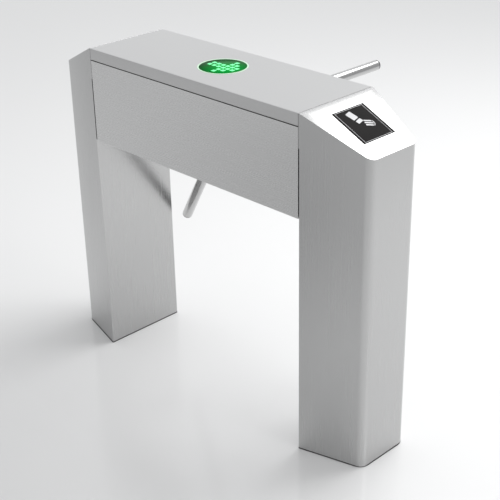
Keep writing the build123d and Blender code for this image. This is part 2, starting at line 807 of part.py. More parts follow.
screw_angles = [-30 + i * 360 / arm_count for i in range(arm_count)]
screw_spots = [(26 * cos(radians(a)), 26 * sin(radians(a))) for a in screw_angles]
with BuildPart() as tripod_hub:
    with BuildSketch(tripod.offset(hub_back)):
        Circle(hub_slant - hub_back)
    with BuildSketch(tripod.offset(hub_front)):
        Circle(hub_slant - hub_front)
    loft()
    for plane in arm_planes:
        with BuildSketch(plane.offset(socket_end / 2)):
            Circle(socket_radius)
        extrude(amount=socket_end / 2)
    with BuildSketch(tripod.offset(hub_back)):
        Circle(socket_end)
    extrude(amount=-socket_end / 2, mode=Mode.SUBTRACT)
    for plane in arm_planes:
        with BuildSketch(plane.offset(arm_start)):
            Circle(arm_radius)
        extrude(amount=socket_end, mode=Mode.SUBTRACT)
    with BuildSketch(tripod.offset(hub_back)):
        Circle(flange_radius)
    extrude(amount=flange_front - hub_back, mode=Mode.SUBTRACT)
    with BuildSketch(tripod.offset(flange_front)):
        with Locations(*screw_spots):
            Circle(4)
    extrude(amount=hub_front - flange_front, mode=Mode.SUBTRACT)
    with BuildSketch(tripod.offset(hub_front)):
        with Locations(*screw_spots):
            Circle(6.5)
    extrude(amount=-8, mode=Mode.SUBTRACT)
tripod_hub.part.label = "tripod_hub"
export_step(tripod_hub.part, "parts/tripod_hub.step")

with BuildPart() as hub_screws:
    with BuildSketch(tripod.offset(hub_front)):
        with Locations(*screw_spots):
            Circle(6.5)
    extrude(amount=-8)
    with BuildSketch(tripod.offset(flange_front)):
        with Locations(*screw_spots):
            Circle(4)
    extrude(amount=hub_front - flange_front - 8)
hub_screws.part.label = "hub_screws"
export_step(hub_screws.part, "parts/hub_screws.step")

with BuildPart() as hub_cap:
    with BuildSketch(tripod.offset(hub_front)):
        Circle(hub_cap_radius)
    with BuildSketch(tripod.offset(hub_front + hub_cap_height)):
        Circle(hub_cap_radius - hub_cap_height)
    loft()
hub_cap.part.label = "hub_cap"
export_step(hub_cap.part, "parts/hub_cap.step")

for name, plane in zip(("level_arm", "near_arm", "far_arm"), arm_planes):
    with BuildPart() as arm:
        with BuildSketch(plane.offset(arm_start)):
            Circle(arm_radius)
            Circle(arm_radius - arm_wall, mode=Mode.SUBTRACT)
        extrude(amount=arm_reach - cap_length - arm_start)
    arm.part.label = name
    export_step(arm.part, f"parts/{name}.step")

with BuildPart() as arm_caps:
    for plane in arm_planes:
        with BuildSketch(plane.offset(arm_reach - cap_length - 20)):
            Circle(arm_radius - arm_wall)
        extrude(amount=20)
        with BuildSketch(plane.offset(arm_reach - cap_length)):
            Circle(arm_radius)
        with BuildSketch(plane.offset(arm_reach)):
            Circle(arm_radius - 6)
        loft()
arm_caps.part.label = "arm_caps"
export_step(arm_caps.part, "parts/arm_caps.step")

for name, level, side, hub_from in (
    ("entry_ratchet", entry_level, 1, exit_level + ratchet_thick),
    ("exit_ratchet", exit_level, -1, exit_level),
):
    with BuildPart() as ratchet:
        with BuildSketch(tripod.offset(level)):
            Polygon(*ratchet_outline(side), align=None)
        extrude(amount=ratchet_thick)
        if hub_from < level:
            with BuildSketch(tripod.offset(hub_from)):
                Circle(wheel_hub_radius)
            extrude(amount=level - hub_from)
        with BuildSketch(tripod.offset(hub_from)):
            Circle(shaft_radius)
        extrude(amount=level + ratchet_thick - hub_from, mode=Mode.SUBTRACT)
    ratchet.part.label = name
    export_step(ratchet.part, f"parts/{name}.step")

with BuildPart() as index_cam:
    with BuildSketch(tripod.offset(cam_level)):
        Circle(cam_radius)
        with PolarLocations(cam_radius + cam_notch / 2, arm_count, start_angle=spoke_angles[0]):
            Circle(cam_notch, mode=Mode.SUBTRACT)
    extrude(amount=gear_thick)
    with BuildSketch(tripod.offset(entry_level + ratchet_thick)):
        Circle(wheel_hub_radius)
    extrude(amount=cam_level - entry_level - ratchet_thick)
    with BuildSketch(tripod.offset(entry_level + ratchet_thick)):
        Circle(shaft_radius)
    extrude(amount=cam_level + gear_thick - entry_level - ratchet_thick, mode=Mode.SUBTRACT)
index_cam.part.label = "index_cam"
export_step(index_cam.part, "parts/index_cam.step")

with BuildPart() as tripod_gear:
    with BuildSketch(tripod.offset(gear_level)):
        Polygon(*gear_outline(gear_teeth, 180 / gear_teeth), align=None)
    extrude(amount=gear_thick)
    with BuildSketch(tripod.offset(gear_level + gear_thick)):
        Circle(wheel_hub_radius)
    extrude(amount=exit_level - gear_level - gear_thick)
    with BuildSketch(tripod.offset(gear_level)):
        Circle(shaft_radius)
    extrude(amount=exit_level - gear_level, mode=Mode.SUBTRACT)
tripod_gear.part.label = "tripod_gear"
export_step(tripod_gear.part, "parts/tripod_gear.step")

# ---- Damper and encoder driven by the gear ----
centre_distance = gear_module * (gear_teeth + pinion_teeth) / 2
pinion_shaft = 4.0
unit_back = rear_plate_front - plate_thick
for name, side, radius, deep in (("damper", 1, 22.0, 34.0), ("encoder", -1, 19.0, 30.0)):
    with BuildPart() as pinion:
        with BuildSketch(tripod.offset(gear_level)):
            with Locations((side * centre_distance, 0)):
                Polygon(*gear_outline(pinion_teeth, 90 + side * 90), align=None)
        extrude(amount=gear_thick)
        with BuildSketch(tripod.offset(gear_level)):
            with Locations((side * centre_distance, 0)):
                Circle(pinion_shaft)
        extrude(amount=unit_back - 12 - gear_level)
    pinion.part.label = f"{name}_pinion"
    export_step(pinion.part, f"parts/{name}_pinion.step")

    with BuildPart() as unit:
        with BuildSketch(tripod.offset(unit_back)):
            with Locations((side * centre_distance, 0)):
                Circle(radius)
        extrude(amount=-deep)
        with BuildSketch(tripod.offset(unit_back)):
            with Locations((side * centre_distance, 0)):
                Rectangle(2 * radius + 16, radius)
        extrude(amount=-4)
        with BuildSketch(tripod.offset(unit_back)):
            with Locations((side * centre_distance, 0)):
                Circle(pinion_shaft + run)
        extrude(amount=-16, mode=Mode.SUBTRACT)
    unit.part.label = f"{name}_unit"
    export_step(unit.part, f"parts/{name}_unit.step")

# ---- Lock pawls, drawn engaged and then swung back to their released rest ----
def pawl_place(x, y, side):
    """A point of the engaged pawl after it has swung back about its pin."""
    dx, dy, turn = x - pawl_x, y - pawl_y, radians(pawl_release)
    return (
        side * (pawl_x + dx * cos(turn) - dy * sin(turn)),
        pawl_y + dx * sin(turn) + dy * cos(turn),
    )


def coil_plane(side, level):
    """Plane on the pawl side of a solenoid, looking along its plunger."""
    return Plane(
        origin=tripod.from_local_coords((side * tail_x, coil_front, level + ratchet_thick / 2)),
        x_dir=tripod.x_dir,
        z_dir=tripod.y_dir,
    )


tooth_high = pawl_tip_low + pawl_tip_width
pawl_shape = (
    (pawl_tip_depth, pawl_tip_low),
    (76, pawl_tip_low),
    (76, 44),
    (80, pawl_y - tail_half),
    (tail_x + 6, pawl_y - tail_half),
    (tail_x + 6, pawl_y + tail_half),
    (pawl_x, pawl_y + tail_half),
    (pawl_x - 4, pawl_y - 2),
    (66, 44),
    (68.5, tooth_high),
    (pawl_tip_depth, tooth_high),
)
dome_gap = plunger_radius + touch_gap
release = radians(pawl_release)
dome_y = pawl_y + tail_reach * tan(release) + (tail_half + dome_gap) / cos(release)
for name, side, level in (("entry", 1, entry_level), ("exit", -1, exit_level)):
    with BuildPart() as pawl:
        with BuildSketch(tripod.offset(level)):
            Polygon(*[pawl_place(x, y, side) for x, y in pawl_shape], align=None)
            with Locations((side * pawl_x, pawl_y)):
                Circle(pawl_boss)
                Circle(pawl_pin + run, mode=Mode.SUBTRACT)
        extrude(amount=ratchet_thick)
    pawl.part.label = f"{name}_pawl"
    export_step(pawl.part, f"parts/{name}_pawl.step")

    with BuildPart() as plunger:
        with BuildSketch(coil_plane(side, level).offset(dome_y - coil_front)):
            Circle(plunger_radius)
        extrude(amount=plunger_length)
        with Locations(coil_plane(side, level).offset(dome_y - coil_front).origin):
            Sphere(plunger_radius)
    plunger.part.label = f"{name}_plunger"
    export_step(plunger.part, f"parts/{name}_plunger.step")

with BuildPart() as solenoids:
    for side, level in ((1, entry_level), (-1, exit_level)):
        with BuildSketch(coil_plane(side, level)):
            Rectangle(coil_x, coil_z)
            Circle(plunger_radius + run, mode=Mode.SUBTRACT)
        extrude(amount=coil_y)
solenoids.part.label = "solenoids"
export_step(solenoids.part, "parts/solenoids.step")

# Index lever, shown lifted just clear of the cam's lobes
with BuildPart() as index_lever:
    with BuildSketch(tripod.offset(lever_back)):
        with Locations(lever_pivot, (0, roller_y), (34, -51)):
            Circle(7)
        lever_low = [(-58, -66), (0, roller_y - 6.5), (34, -57.5)]
        lever_high = [(34, -44.5), (0, roller_y + 6.5), (-58, -54)]
        Polygon(*lever_low, *lever_high, align=None)
        with Locations(lever_pivot, (0, roller_y)):
            Circle(3.5, mode=Mode.SUBTRACT)
    extrude(amount=lever_thick)
index_lever.part.label = "index_lever"
export_step(index_lever.part, "parts/index_lever.step")

with BuildPart() as index_roller:
    with BuildSketch(tripod.offset(cam_level)):
        with Locations((0, roller_y)):
            Circle(roller_radius)
    extrude(amount=gear_thick)
    with BuildSketch(tripod.offset(cam_level + gear_thick)):
        with Locations((0, roller_y)):
            Circle(3.5)
    extrude(amount=touch_gap + lever_thick + 2)
index_roller.part.label = "index_roller"
export_step(index_roller.part, "parts/index_roller.step")

# ---- Electrical parts on the bridge floor ----
with BuildPart() as control_board:
    with BuildSketch(Plane.XY.offset(board_z)):
        with Locations((board_x, board_y)):
            Rectangle(140, 110)
    extrude(amount=1.6)
    for dx, dy, lx, ly, lz in (
        (-30, 10, 26, 26, 3),
        (25, 25, 40, 16, 14),
        (28, -20, 18, 18, 16),
        (-35, -38, 50, 12, 12),
        (40, -44, 30, 10, 10),
    ):
        with BuildSketch(Plane.XY.offset(board_z + 1.6)):
            with Locations((board_x + dx, board_y + dy)):
                Rectangle(lx, ly)
        extrude(amount=lz)
control_board.part.label = "control_board"
export_step(control_board.part, "parts/control_board.step")

with BuildPart() as terminal_strip:
    with BuildSketch(Plane.XY.offset(floor_z)):
        with Locations((board_x, 70)):
            Rectangle(120, 22)
    extrude(amount=8)
    with BuildSketch(Plane.XY.offset(floor_z + 8)):
        with GridLocations(10, 1, 12, 1):
            with Locations((board_x, 70)):
                Rectangle(8, 16)
    extrude(amount=14)
terminal_strip.part.label = "terminal_strip"
export_step(terminal_strip.part, "parts/terminal_strip.step")

with BuildPart() as power_supply:
    with BuildSketch(Plane.XY.offset(floor_z)):
        with Locations((-board_x, -20)):
            Rectangle(150, 98)
    extrude(amount=38)
    with BuildSketch(Plane.XY.offset(floor_z)):
        with Locations((-board_x, 36)):
            Rectangle(120, 14)
    extrude(amount=22)
power_supply.part.label = "power_supply"
export_step(power_supply.part, "parts/power_supply.step")

# Visitor counter on a bracket under the lid, read from above
counter_x, counter_top = -300.0, 925.0
with BuildPart() as counter_bracket:
    with BuildSketch(Plane.XZ.offset(-width / 2 + sheet)):
        with Locations((counter_x, counter_top - 45)):
            Rectangle(70, 70)
    extrude(amount=3)
    with BuildSketch(Plane.XY.offset(counter_top - 53)):
        with Locations((counter_x, width / 2 - sheet - 28)):
            Rectangle(70, 56)
    extrude(amount=3)
counter_bracket.part.label = "counter_bracket"
export_step(counter_bracket.part, "parts/counter_bracket.step")

counter_y = width / 2 - sheet - 30
with BuildPart() as visitor_counter:
    with BuildSketch(Plane.XY.offset(counter_top - 50)):
        with Locations((counter_x, counter_y)):
            Rectangle(60, 36)
    extrude(amount=50)
    with BuildSketch(Plane.XY.offset(counter_top)):
        with Locations((counter_x, counter_y)):
            Rectangle(44, 14)
    extrude(amount=-4, mode=Mode.SUBTRACT)
visitor_counter.part.label = "visitor_counter"
export_step(visitor_counter.part, "parts/visitor_counter.step")

with BuildPart() as counter_wheels:
    with BuildSketch(Plane.XY.offset(counter_top - 4)):
        with Locations((counter_x, counter_y)):
            with GridLocations(7, 1, 6, 1):
                Rectangle(6, 12)
    extrude(amount=3)
counter_wheels.part.label = "counter_wheels"
export_step(counter_wheels.part, "parts/counter_wheels.step")
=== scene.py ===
"""Dressed model of a tripod turnstile: brushed steel cabinet, lit lid display, card readers and three arms."""

import logging
import math
from dataclasses import dataclass, field
from enum import Enum
from typing import Callable, Iterable, Optional, Sequence

import bmesh
import bpy
import numpy as np
from mathutils import Matrix, Vector


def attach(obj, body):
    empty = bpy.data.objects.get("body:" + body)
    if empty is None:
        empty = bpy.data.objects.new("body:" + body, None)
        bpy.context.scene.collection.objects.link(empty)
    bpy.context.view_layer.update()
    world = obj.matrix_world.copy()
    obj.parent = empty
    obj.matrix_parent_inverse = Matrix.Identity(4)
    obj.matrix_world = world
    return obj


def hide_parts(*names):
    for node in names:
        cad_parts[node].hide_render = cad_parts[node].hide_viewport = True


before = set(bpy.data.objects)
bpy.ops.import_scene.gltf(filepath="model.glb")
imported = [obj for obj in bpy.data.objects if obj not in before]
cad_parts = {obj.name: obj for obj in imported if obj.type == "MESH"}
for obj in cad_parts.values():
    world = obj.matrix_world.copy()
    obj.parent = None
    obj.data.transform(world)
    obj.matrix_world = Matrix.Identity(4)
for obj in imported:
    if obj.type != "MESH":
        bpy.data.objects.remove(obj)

LOG = logging.getLogger("turnstile")
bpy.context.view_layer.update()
MM = 0.001
Colour = tuple[float, float, float]


# ---------------------------------------------------------------- finishes
class Grain(Enum):
    """Which way a brushed surface's lines run: how far each axis is squeezed across the lines."""

    LENGTHWISE = (1.5, 280.0, 280.0)
    UPRIGHT = (280.0, 280.0, 1.5)
    EVEN = (180.0, 180.0, 180.0)


class NodeBench:
    """A material's node tree with short calls for adding and joining nodes."""

    def __init__(self, name: str) -> None:
        """Make an empty node material.

        Args:
            name: the material's name.
        """
        self.material = bpy.data.materials.new(name)
        self.material.use_nodes = True
        self.tree = self.material.node_tree
        self.tree.nodes.clear()
        self.output = self.add("ShaderNodeOutputMaterial")
        self.shader = self.add("ShaderNodeBsdfPrincipled")
        self.join(self.shader, "BSDF", self.output, "Surface")
        self.place = self.add("ShaderNodeTexCoord")

    def add(self, kind: str, **settings: object) -> bpy.types.Node:
        """Add a node and set its plain properties.

        Args:
            kind: Blender's node type.
            settings: property names and values.

        Returns:
            The new node.
        """
        node = self.tree.nodes.new(kind)
        for key, value in settings.items():
            setattr(node, key, value)
        return node

    def join(self, a: bpy.types.Node, out: str, b: bpy.types.Node, into: str | int) -> None:
        """Link one node's output to another's input."""
        self.tree.links.new(a.outputs[out], b.inputs[into])

    def noise(self, stretch: Sequence[float], scale: float, detail: float = 3.0) -> bpy.types.Node:
        """Noise on the object's own coordinates, stretched along the axes.

        Args:
            stretch: the three scales of the mapping.
            scale: the noise scale.
            detail: the noise detail.

        Returns:
            The noise node.
        """
        mapping = self.add("ShaderNodeMapping")
        mapping.inputs["Scale"].default_value = tuple(stretch)
        self.join(self.place, "Object", mapping, "Vector")
        noise = self.add("ShaderNodeTexNoise")
        noise.inputs["Scale"].default_value = scale
        noise.inputs["Detail"].default_value = detail
        self.join(mapping, "Vector", noise, "Vector")
        return noise

    def spread(self, source: bpy.types.Node, low: float, high: float, window: tuple[float, float]) -> bpy.types.Node:
        """Map a noise node's factor from a window of values to a range.

        Args:
            source: the noise node.
            low: the value at the window's start.
            high: the value at the window's end.
            window: the factor values that count as start and end.

        Returns:
            The Map Range node.
        """
        spread = self.add("ShaderNodeMapRange")
        spread.inputs["From Min"].default_value = window[0]
        spread.inputs["From Max"].default_value = window[1]
        spread.inputs["To Min"].default_value = low
        spread.inputs["To Max"].default_value = high
        self.tree.links.new(source.outputs[0], spread.inputs["Value"])
        return spread

    def blend(self, factor: bpy.types.Node, first: Colour, second: Colour) -> bpy.types.Node:
        """Mix two colours by a node's first output.

        Args:
            factor: the node whose first output drives the mix.
            first: colour at 0.
            second: colour at 1.

        Returns:
            The mix node.
        """
        mix = self.add("ShaderNodeMix", data_type="RGBA")
        mix.inputs[6].default_value = (*first, 1.0)
        mix.inputs[7].default_value = (*second, 1.0)
        self.tree.links.new(factor.outputs[0], mix.inputs[0])
        return mix

    def paint(self, mix: bpy.types.Node) -> None:
        """Send a colour mix to the shader's base colour."""
        self.tree.links.new(mix.outputs[2], self.shader.inputs["Base Color"])

    def bump(self, source: bpy.types.Node, strength: float, depth: float) -> None:
        """Drive the shader's normal with a height.

        Args:
            source: node whose first output is the height.
            strength: bump strength from 0 to 1.
            depth: bump distance in metres.
        """
        bump = self.add("ShaderNodeBump")
        bump.inputs["Strength"].default_value = strength
        bump.inputs["Distance"].default_value = depth
        self.tree.links.new(source.outputs[0], bump.inputs["Height"])
        self.join(bump, "Normal", self.shader, "Normal")


@dataclass(frozen=True)
class BrushedSteel:
    """Stainless steel with fine brush lines, broad clouding and slight handling marks."""

    name: str
    tone: float = 0.62
    roughness: float = 0.30
    grain: Grain = Grain.LENGTHWISE
    contrast: float = 0.018
    sway: float = 0.035

    def material(self) -> bpy.types.Material:
        """Build the node material: streaks set colour, roughness and bump; clouds move the roughness."""
        bench = NodeBench(self.name)
        bench.shader.inputs["Metallic"].default_value = 1.0
        lines = bench.noise(self.grain.value, 2.0, 3.0)
        clouds = bench.noise((1.0, 1.0, 1.0), 5.5, 4.0)
        dark = (self.tone - self.contrast,) * 3
        light = (self.tone + self.contrast,) * 3
        mixed = bench.add("ShaderNodeMath", operation="MULTIPLY_ADD")
        bench.tree.links.new(lines.outputs[0], mixed.inputs[0])
        mixed.inputs[1].default_value = 0.75
        softened = bench.add("ShaderNodeMath", operation="MULTIPLY")
        bench.tree.links.new(clouds.outputs[0], softened.inputs[0])
        softened.inputs[1].default_value = 0.25
        bench.tree.links.new(softened.outputs[0], mixed.inputs[2])
        bench.paint(bench.blend(bench.spread(mixed, 0.0, 1.0, (0.3, 0.7)), dark, light))
        rough = bench.spread(mixed, self.roughness - self.sway, self.roughness + self.sway, (0.3, 0.7))
        bench.join(rough, "Result", bench.shader, "Roughness")
        bench.bump(lines, 0.05, 0.000015)
        return bench.material


@dataclass(frozen=True)
class CastMetal:
    """Satin cast or machined metal with a fine blasted texture."""

    name: str
    colour: Colour = (0.62, 0.63, 0.64)
    roughness: float = 0.38
    grit: float = 900.0
    metallic: float = 1.0

    def material(self) -> bpy.types.Material:
        """Build the node material: fine grit bump with clouded roughness."""
        bench = NodeBench(self.name)
        bench.shader.inputs["Metallic"].default_value = self.metallic
        grit = bench.noise((1.0, 1.0, 1.0), self.grit, 2.0)
        clouds = bench.noise((1.0, 1.0, 1.0), 22.0, 5.0)
        dark = tuple(0.86 * c for c in self.colour)
        light = tuple(min(1.0, 1.08 * c) for c in self.colour)
        bench.paint(bench.blend(bench.spread(clouds, 0.0, 1.0, (0.3, 0.7)), dark, light))
        rough = bench.spread(clouds, self.roughness - 0.07, self.roughness + 0.08, (0.3, 0.7))
        bench.join(rough, "Result", bench.shader, "Roughness")
        bench.bump(grit, 0.14, 0.00015)
        return bench.material


@dataclass(frozen=True)
class Moulding:
    """Moulded plastic, rubber or paint with a fine skin texture and slight colour drift."""

    name: str
    colour: Colour = (0.04, 0.04, 0.045)
    roughness: float = 0.5
    skin: float = 1400.0
    ior: float = 1.45
    depth: float = 0.0001

    def material(self) -> bpy.types.Material:
        """Build the node material: skin bump, clouded colour and roughness."""
        bench = NodeBench(self.name)
        bench.shader.inputs["IOR"].default_value = self.ior
        skin = bench.noise((1.0, 1.0, 1.0), self.skin, 2.0)
        clouds = bench.noise((1.0, 1.0, 1.0), 18.0, 4.0)
        dark = tuple(0.82 * c for c in self.colour)
        light = tuple(min(1.0, 1.14 * c) for c in self.colour)
        bench.paint(bench.blend(bench.spread(clouds, 0.0, 1.0, (0.3, 0.7)), dark, light))
        rough = bench.spread(clouds, max(0.03, self.roughness - 0.06), self.roughness + 0.06, (0.3, 0.7))
        bench.join(rough, "Result", bench.shader, "Roughness")
        bench.bump(skin, 0.12, self.depth)
        return bench.material


@dataclass(frozen=True)
class LitPanel:
    """Tinted window lit from behind: its glow fades from one place towards the rim."""

    name: str
    colour: Colour = (0.0, 0.10, 0.02)
    glow: Colour = (0.0, 0.30, 0.03)
    strength: float = 1.0
    heart: tuple[float, float, float] = (0.022, -0.008, 0.979)
    reach: float = 0.078

    def material(self) -> bpy.types.Material:
        """Build the node material: a spherical falloff round the heart drives the glow's strength."""
        bench = NodeBench(self.name)
        bench.shader.inputs["Roughness"].default_value = 0.12
        bench.shader.inputs["IOR"].default_value = 1.04
        mapping = bench.add("ShaderNodeMapping")
        mapping.inputs["Location"].default_value = tuple(-v / self.reach for v in self.heart)
        mapping.inputs["Scale"].default_value = (1.0 / self.reach,) * 3
        bench.join(bench.place, "Object", mapping, "Vector")
        ball = bench.add("ShaderNodeTexGradient", gradient_type="SPHERICAL")
        bench.join(mapping, "Vector", ball, "Vector")
        haze = bench.noise((1.0, 1.0, 1.0), 90.0, 2.0)
        uneven = bench.add("ShaderNodeMath", operation="MULTIPLY")
        bench.tree.links.new(ball.outputs["Fac"], uneven.inputs[0])
        lift = bench.spread(haze, 0.85, 1.15, (0.3, 0.7))
        bench.join(lift, "Result", uneven, 1)
        power = bench.spread(uneven, 0.10 * self.strength, self.strength, (0.0, 0.85))
        bench.join(power, "Result", bench.shader, "Emission Strength")
        bench.shader.inputs["Emission Color"].default_value = (*self.glow, 1.0)
        bench.paint(bench.blend(ball, tuple(0.3 * c for c in self.colour), self.colour))
        return bench.material


@dataclass(frozen=True)
class Lamp:
    """Light-emitting plastic, a touch uneven."""

    name: str
    colour: Colour = (0.35, 1.0, 0.55)
    strength: float = 1.2

    def material(self) -> bpy.types.Material:
        """Build the node material: noise varies the glow's strength by a tenth."""
        bench = NodeBench(self.name)
        bench.shader.inputs["Roughness"].default_value = 0.35
        bench.shader.inputs["Emission Color"].default_value = (*self.colour, 1.0)
        haze = bench.noise((1.0, 1.0, 1.0), 160.0, 2.0)
        power = bench.spread(haze, 0.9 * self.strength, 1.1 * self.strength, (0.3, 0.7))
        bench.join(power, "Result", bench.shader, "Emission Strength")
        bench.paint(bench.blend(haze, tuple(0.36 * c for c in self.colour), tuple(0.48 * c for c in self.colour)))
        return bench.material


@dataclass(frozen=True)
class BoardLacquer:
    """Green circuit board lacquer with copper tracks showing as paler lines."""

    name: str = "board_lacquer"
    colour: Colour = (0.02, 0.17, 0.07)

    def material(self) -> bpy.types.Material:
        """Build the node material: a brick pattern stands for the tracks."""
        bench = NodeBench(self.name)
        bench.shader.inputs["Coat Weight"].default_value = 0.4
        mapping = bench.add("ShaderNodeMapping")
        mapping.inputs["Scale"].default_value = (90.0, 90.0, 90.0)
        bench.join(bench.place, "Object", mapping, "Vector")
        tracks = bench.add("ShaderNodeTexBrick")
        tracks.inputs["Scale"].default_value = 1.0
        tracks.inputs["Mortar Size"].default_value = 0.035
        tracks.inputs["Color1"].default_value = (*self.colour, 1.0)
        tracks.inputs["Color2"].default_value = (*[1.2 * c for c in self.colour], 1.0)
        tracks.inputs["Mortar"].default_value = (0.08, 0.34, 0.16, 1.0)
        bench.join(mapping, "Vector", tracks, "Vector")
        bench.join(tracks, "Color", bench.shader, "Base Color")
        fine = bench.noise((1.0, 1.0, 1.0), 300.0, 2.0)
        rough = bench.spread(fine, 0.34, 0.46, (0.3, 0.7))
        bench.join(rough, "Result", bench.shader, "Roughness")
        bench.bump(tracks, 0.2, 0.00005)
        return bench.material


class FinishRack:
    """Every finish of the turnstile, built once and handed out by the record's slot name."""

    def __init__(self) -> None:
        """List each slot's finish; nothing is built until it is asked for."""
        self.finishes = {
            "pedestal_steel": BrushedSteel("pedestal_steel", 0.525, 0.26, Grain.UPRIGHT, 0.011, 0.022),
            "bridge_steel": BrushedSteel("bridge_steel", 0.665, 0.27, Grain.LENGTHWISE, 0.009, 0.018),
            "lid_steel": BrushedSteel("lid_steel", 0.575, 0.30, Grain.LENGTHWISE, 0.009, 0.018),
            "door_steel": BrushedSteel("door_steel", 0.525, 0.26, Grain.UPRIGHT, 0.011, 0.022),
            "arm_steel": BrushedSteel("arm_steel", 0.49, 0.18, Grain.EVEN, 0.012, 0.03),
            "hub_metal": CastMetal("hub_metal", (0.60, 0.61, 0.62), 0.34),
            "shaft_steel": CastMetal("shaft_steel", (0.52, 0.52, 0.53), 0.24, 1600.0),
            "hard_steel": CastMetal("hard_steel", (0.20, 0.20, 0.21), 0.36, 700.0),
            "zinc_steel": CastMetal("zinc_steel", (0.62, 0.62, 0.57), 0.36, 500.0),
            "gear_brass": CastMetal("gear_brass", (0.74, 0.56, 0.26), 0.28, 1200.0),
            "lock_brass": CastMetal("lock_brass", (0.78, 0.78, 0.79), 0.16, 2000.0),
            "reader_glass": Moulding("reader_glass", (0.012, 0.011, 0.011), 0.16, 2600.0, 1.07, 0.00002),
            "reader_print": Moulding("reader_print", (0.74, 0.74, 0.75), 0.5, 2000.0, 1.2),
            "display_glass": LitPanel("display_glass"),
            "display_glow": Lamp("display_glow", (0.70, 1.0, 0.74), 0.42),
            "led_lit": Lamp("led_lit", (0.14, 1.0, 0.36), 0.85),
            "black_plastic": Moulding("black_plastic", (0.035, 0.035, 0.04), 0.5),
            "grey_plastic": Moulding("grey_plastic", (0.27, 0.28, 0.29), 0.48),
            "cream_plastic": Moulding("cream_plastic", (0.72, 0.70, 0.62), 0.45),
            "buffer_rubber": Moulding("buffer_rubber", (0.025, 0.025, 0.025), 0.75, 700.0, 1.4, 0.0003),
            "coil_paint": Moulding("coil_paint", (0.08, 0.10, 0.14), 0.42, 900.0),
            "copper_wire": CastMetal("copper_wire", (0.80, 0.36, 0.18), 0.3, 1200.0),
            "wire_red": Moulding("wire_red", (0.50, 0.03, 0.025), 0.4),
            "wire_blue": Moulding("wire_blue", (0.03, 0.08, 0.42), 0.4),
            "board_green": BoardLacquer("board_green"),
        }
        self.made: dict[str, bpy.types.Material] = {}

    def get(self, slot: str) -> bpy.types.Material:
        """The material of a slot, built at its first use."""
        if slot not in self.made:
            self.made[slot] = self.finishes[slot].material()
        return self.made[slot]


RACK = FinishRack()


# ---------------------------------------------------------------- shapes
@dataclass(frozen=True)
class Bench:
    """A local frame: origin in millimetres and three unit axes in the row's frame."""

    origin: tuple[float, float, float]
    across: tuple[float, float, float]
    along: tuple[float, float, float]
    out: tuple[float, float, float]

    def world(self, x: np.ndarray, y: np.ndarray, z: np.ndarray) -> np.ndarray:
        """Local millimetres to metres in the row's frame: origin + x across + y along + z out.

        Args:
            x: local coordinates along `across`.
            y: local coordinates along `along`.
            z: local coordinates along `out`.

        Returns:
            An array with one more axis, of length 3.
        """
        x, y, z = np.broadcast_arrays(x, y, z)
        spot = np.asarray(self.origin) + (
            x[..., None] * np.asarray(self.across)
            + y[..., None] * np.asarray(self.along)
            + z[..., None] * np.asarray(self.out)
        )
        return spot * MM


ROOT_HALF = math.sqrt(0.5)
LEVEL = Bench((0, 0, 0), (1, 0, 0), (0, 1, 0), (0, 0, 1))
TRIPOD = Bench((0, 24, 834), (1, 0, 0), (0, -ROOT_HALF, -ROOT_HALF), (0, ROOT_HALF, -ROOT_HALF))


def spoke_bench(turn: float) -> Bench:
    """Frame on a tripod arm, its `out` axis along the arm from the apex.

    Args:
        turn: the arm's angle about the tripod's axis, in degrees.

    Returns:
        The local frame.
    """
    a, along, across = (np.asarray(v, float) for v in (TRIPOD.out, TRIPOD.along, TRIPOD.across))
    spoke = across * math.cos(math.radians(turn)) + along * math.sin(math.radians(turn))
    out = (a + spoke) * ROOT_HALF
    side = np.cross(a, spoke)
    return Bench(TRIPOD.origin, tuple(side), tuple(np.cross(out, side)), tuple(out))


def sheet_mesh(name: str, spots: np.ndarray, close_u: bool, close_v: bool, caps: bool) -> bpy.types.Object:
    """Make a mesh from a grid of points whose rows may close on themselves, with its two ends capped.

    Args:
        name: object name.
        spots: points of shape (rows, columns, 3).
        close_u: whether the last row joins the first.
        close_v: whether the last column joins the first.
        caps: whether the first and last rows are closed by a face.

    Returns:
        The object, with outward normals.
    """
    rows, cols = spots.shape[:2]
    index = np.arange(rows * cols).reshape(rows, cols)
    below = np.roll(index, -1, 0) if close_u else index[1:]
    here = index if close_u else index[:-1]
    if close_v:
        quads = np.stack([here, np.roll(here, -1, 1), np.roll(below, -1, 1), below], -1).reshape(-1, 4)
    else:
        quads = np.stack([here[:, :-1], here[:, 1:], below[:, 1:], below[:, :-1]], -1).reshape(-1, 4)
    faces = quads.tolist()
    if caps:
        faces += [index[0][::-1].tolist(), index[-1].tolist()]
    mesh = bpy.data.meshes.new(name)
    mesh.from_pydata(spots.reshape(-1, 3).tolist(), [], faces)
    return settle(name, mesh)


def settle(name: str, mesh: bpy.types.Mesh, crease: float = 35.0) -> bpy.types.Object:
    """Merge doubles, point the faces outwards and smooth all but the sharp edges.

    Args:
        name: object name.
        mesh: the mesh to finish.
        crease: edges turning by more than this many degrees stay sharp.

    Returns:
        The linked object.
    """
    work = bmesh.new()
    work.from_mesh(mesh)
    bmesh.ops.remove_doubles(work, verts=work.verts, dist=1e-6)
    bmesh.ops.dissolve_degenerate(work, edges=work.edges, dist=1e-7)
    bmesh.ops.recalc_face_normals(work, faces=work.faces)
    work.to_mesh(mesh)
    work.free()
    mesh.polygons.foreach_set("use_smooth", np.ones(len(mesh.polygons), bool))
    mesh.set_sharp_from_angle(angle=math.radians(crease))
    mesh.update()
    thing = bpy.data.objects.new(name, mesh)
    bpy.context.scene.collection.objects.link(thing)
    return thing


